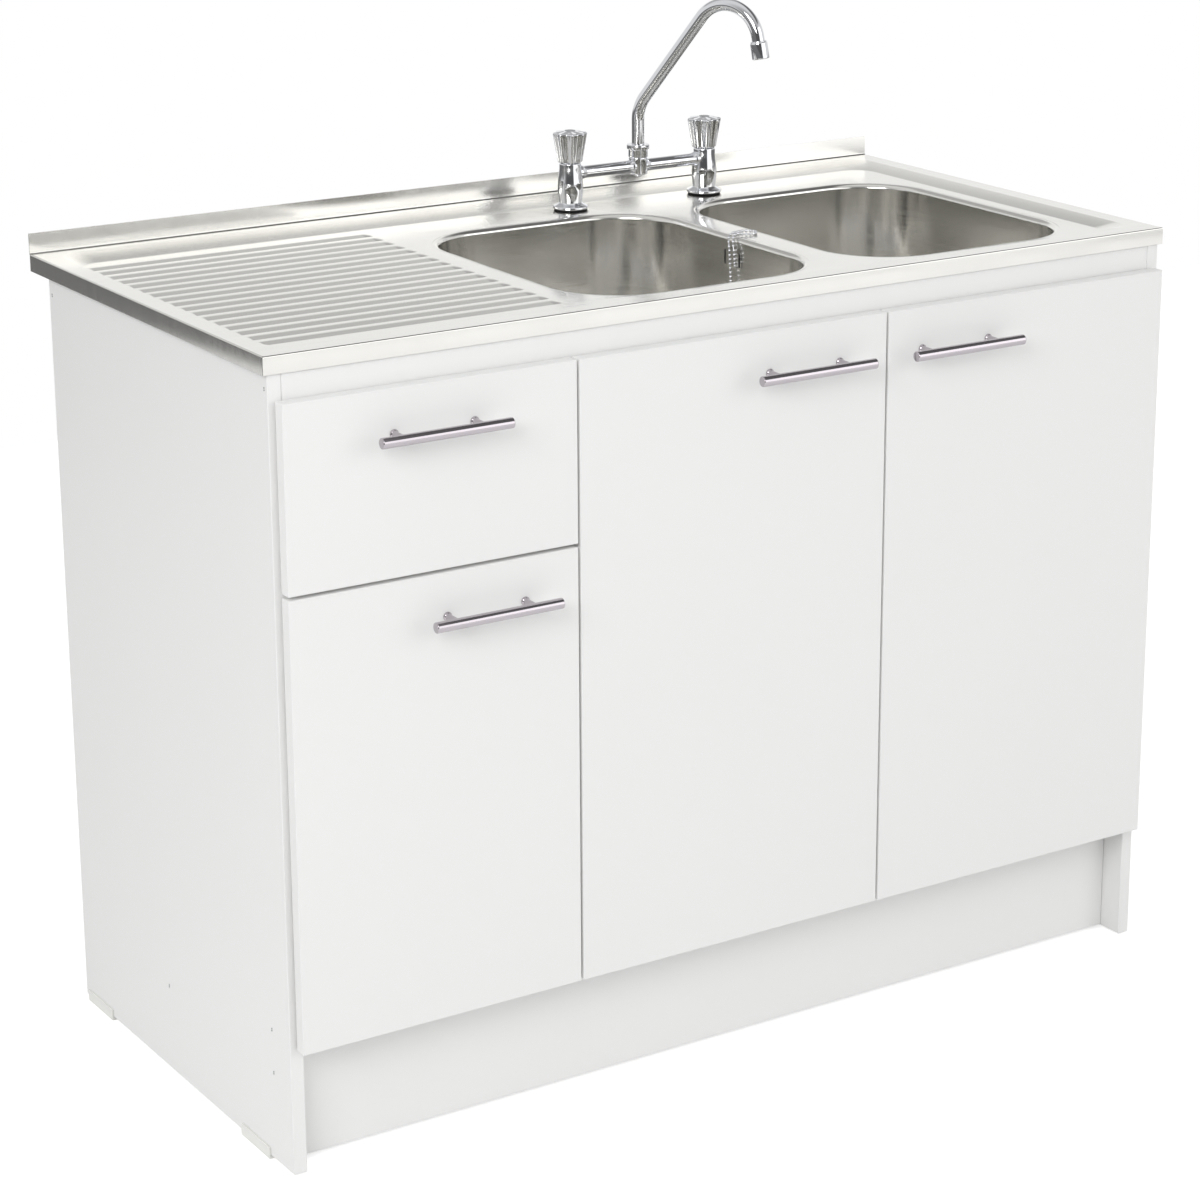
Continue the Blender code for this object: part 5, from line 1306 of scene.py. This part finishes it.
def add_light(name, place, size, power):
    """A rectangular soft light that looks at the middle of the cabinet."""
    data = bpy.data.lights.new(name, "AREA")
    data.shape = "RECTANGLE"
    data.size, data.size_y = size
    data.energy = power
    light = add_object(name, data)
    light.location = place
    light.rotation_euler = (Vector(LIGHT_AIM) - Vector(place)).to_track_quat("-Z", "Y").to_euler()


def make_camera():
    """The camera, where the photo shows it to have stood."""
    stage = settings().stage
    data = bpy.data.cameras.new("camera")
    data.sensor_width = 36.0
    data.lens = stage.lens
    data.shift_x = stage.shift_x
    data.shift_y = stage.shift_y
    data.clip_end = 100.0
    camera = add_object("camera", data)
    camera.location = CAMERA_PLACE
    camera.rotation_euler = Vector(CAMERA_LOOKS).to_track_quat("-Z", "Y").to_euler()
    bpy.context.scene.camera = camera


# Operators

class SINKCABINET_OT_finishes(Operator):
    """Makes the finishes"""
    bl_idname = "sinkcabinet.finishes"
    bl_label = "Finishes"

    def execute(self, context):
        make_finishes()
        return {"FINISHED"}


class SINKCABINET_OT_chain(Operator):
    """Makes the plug and its ball chain"""
    bl_idname = "sinkcabinet.chain"
    bl_label = "Plug and chain"

    def execute(self, context):
        make_chain(make_plug())
        return {"FINISHED"}


class SINKCABINET_OT_sink(Operator):
    """Makes the pressed sink top"""
    bl_idname = "sinkcabinet.sink"
    bl_label = "Sink top"

    def execute(self, context):
        make_sink_top()
        return {"FINISHED"}


class SINKCABINET_OT_bowls(Operator):
    """Makes the two bowls with their wastes and the overflow"""
    bl_idname = "sinkcabinet.bowls"
    bl_label = "Bowls"

    def execute(self, context):
        for side in SIDES:
            make_bowl(side)
            make_waste(side)
        make_overflow()
        return {"FINISHED"}


class SINKCABINET_OT_mixer(Operator):
    """Makes the mixer's body with its washers and union nut"""
    bl_idname = "sinkcabinet.mixer"
    bl_label = "Mixer body"

    def execute(self, context):
        make_mixer()
        make_union_nut()
        for side in SIDES:
            make_gasket(side)
        return {"FINISHED"}


class SINKCABINET_OT_knobs(Operator):
    """Makes the two fluted knobs"""
    bl_idname = "sinkcabinet.knobs"
    bl_label = "Knobs"

    def execute(self, context):
        for side in SIDES:
            make_knob(side)
        return {"FINISHED"}


class SINKCABINET_OT_spout(Operator):
    """Makes the swivel spout and its aerator"""
    bl_idname = "sinkcabinet.spout"
    bl_label = "Spout"

    def execute(self, context):
        make_spout()
        return {"FINISHED"}


class SINKCABINET_OT_handles(Operator):
    """Makes the bar handles"""
    bl_idname = "sinkcabinet.handles"
    bl_label = "Handles"

    def execute(self, context):
        for owner in ("drawer",) + DOORS:
            make_handle(owner)
        return {"FINISHED"}


class SINKCABINET_OT_boards(Operator):
    """Gives the boards their finish and makes the screw heads that show in them"""
    bl_idname = "sinkcabinet.boards"
    bl_label = "Boards"

    def execute(self, context):
        dress(board_nodes(), "melamine_faced_board")
        dress(["drawer_bottom"], "painted_hardboard")
        for side in SIDES:
            make_screws(side)
        return {"FINISHED"}


class SINKCABINET_OT_fittings(Operator):
    """Gives the hinges, runners, feet and nuts their finish"""
    bl_idname = "sinkcabinet.fittings"
    bl_label = "Fittings"

    def execute(self, context):
        dress(hinge_nodes(), "bright_zinc_plate")
        dress(["back_nut_" + side for side in SIDES], "turned_brass")
        plastic = ["foot_" + end + "_" + side for end in ("front", "rear") for side in SIDES]
        plastic += ["drawer_runner_" + side for side in SIDES] + ["waste_nut_" + side for side in SIDES]
        dress(plastic, "moulded_white_plastic")
        return {"FINISHED"}


class SINKCABINET_OT_stage(Operator):
    """Makes the floor, the light and the camera"""
    bl_idname = "sinkcabinet.stage"
    bl_label = "Stage"

    def execute(self, context):
        stage = settings().stage
        make_camera()
        make_floor()
        make_world()
        add_light("key_light", place=(-3.1, -2.5, 2.6), size=(2.2, 1.8), power=stage.key)
        add_light("card_light", place=(1.7, -3.5, 1.6), size=(3.8, 3.0), power=stage.card)
        context.scene.view_settings.view_transform = "Standard"
        return {"FINISHED"}


class SINKCABINET_PT_panel(Panel):
    """Builds the parts of the sink cabinet one by one"""
    bl_idname = "SINKCABINET_PT_panel"
    bl_label = "Sink Cabinet"
    bl_space_type = "VIEW_3D"
    bl_region_type = "UI"
    bl_category = "Sink Cabinet"

    def draw(self, context):
        for operator in OPERATORS:
            self.layout.operator(operator.bl_idname)


GROUPS = (
    SinkSizes, WasteSizes, ChainSizes, MixerSizes, KnobSizes, SpoutSizes, HandleSizes, ScrewSizes,
    FinishColours, StageSettings, SinkCabinetSettings)
OPERATORS = (
    SINKCABINET_OT_finishes, SINKCABINET_OT_chain, SINKCABINET_OT_sink, SINKCABINET_OT_bowls,
    SINKCABINET_OT_mixer, SINKCABINET_OT_knobs, SINKCABINET_OT_spout, SINKCABINET_OT_handles,
    SINKCABINET_OT_boards, SINKCABINET_OT_fittings, SINKCABINET_OT_stage)
CLASSES = GROUPS + OPERATORS + (SINKCABINET_PT_panel,)


def register():
    for item in CLASSES:
        bpy.utils.register_class(item)
    bpy.types.Scene.sink_cabinet = PointerProperty(type=SinkCabinetSettings)


def unregister():
    del bpy.types.Scene.sink_cabinet
    for item in reversed(CLASSES):
        bpy.utils.unregister_class(item)


def main():
    register()
    bpy.ops.sinkcabinet.finishes()
    bpy.ops.sinkcabinet.stage()
    bpy.ops.sinkcabinet.chain()
    bpy.ops.sinkcabinet.sink()
    bpy.ops.sinkcabinet.bowls()
    bpy.ops.sinkcabinet.mixer()
    bpy.ops.sinkcabinet.knobs()
    bpy.ops.sinkcabinet.spout()
    bpy.ops.sinkcabinet.handles()
    bpy.ops.sinkcabinet.boards()
    bpy.ops.sinkcabinet.fittings()


if __name__ == "__main__":
    main()
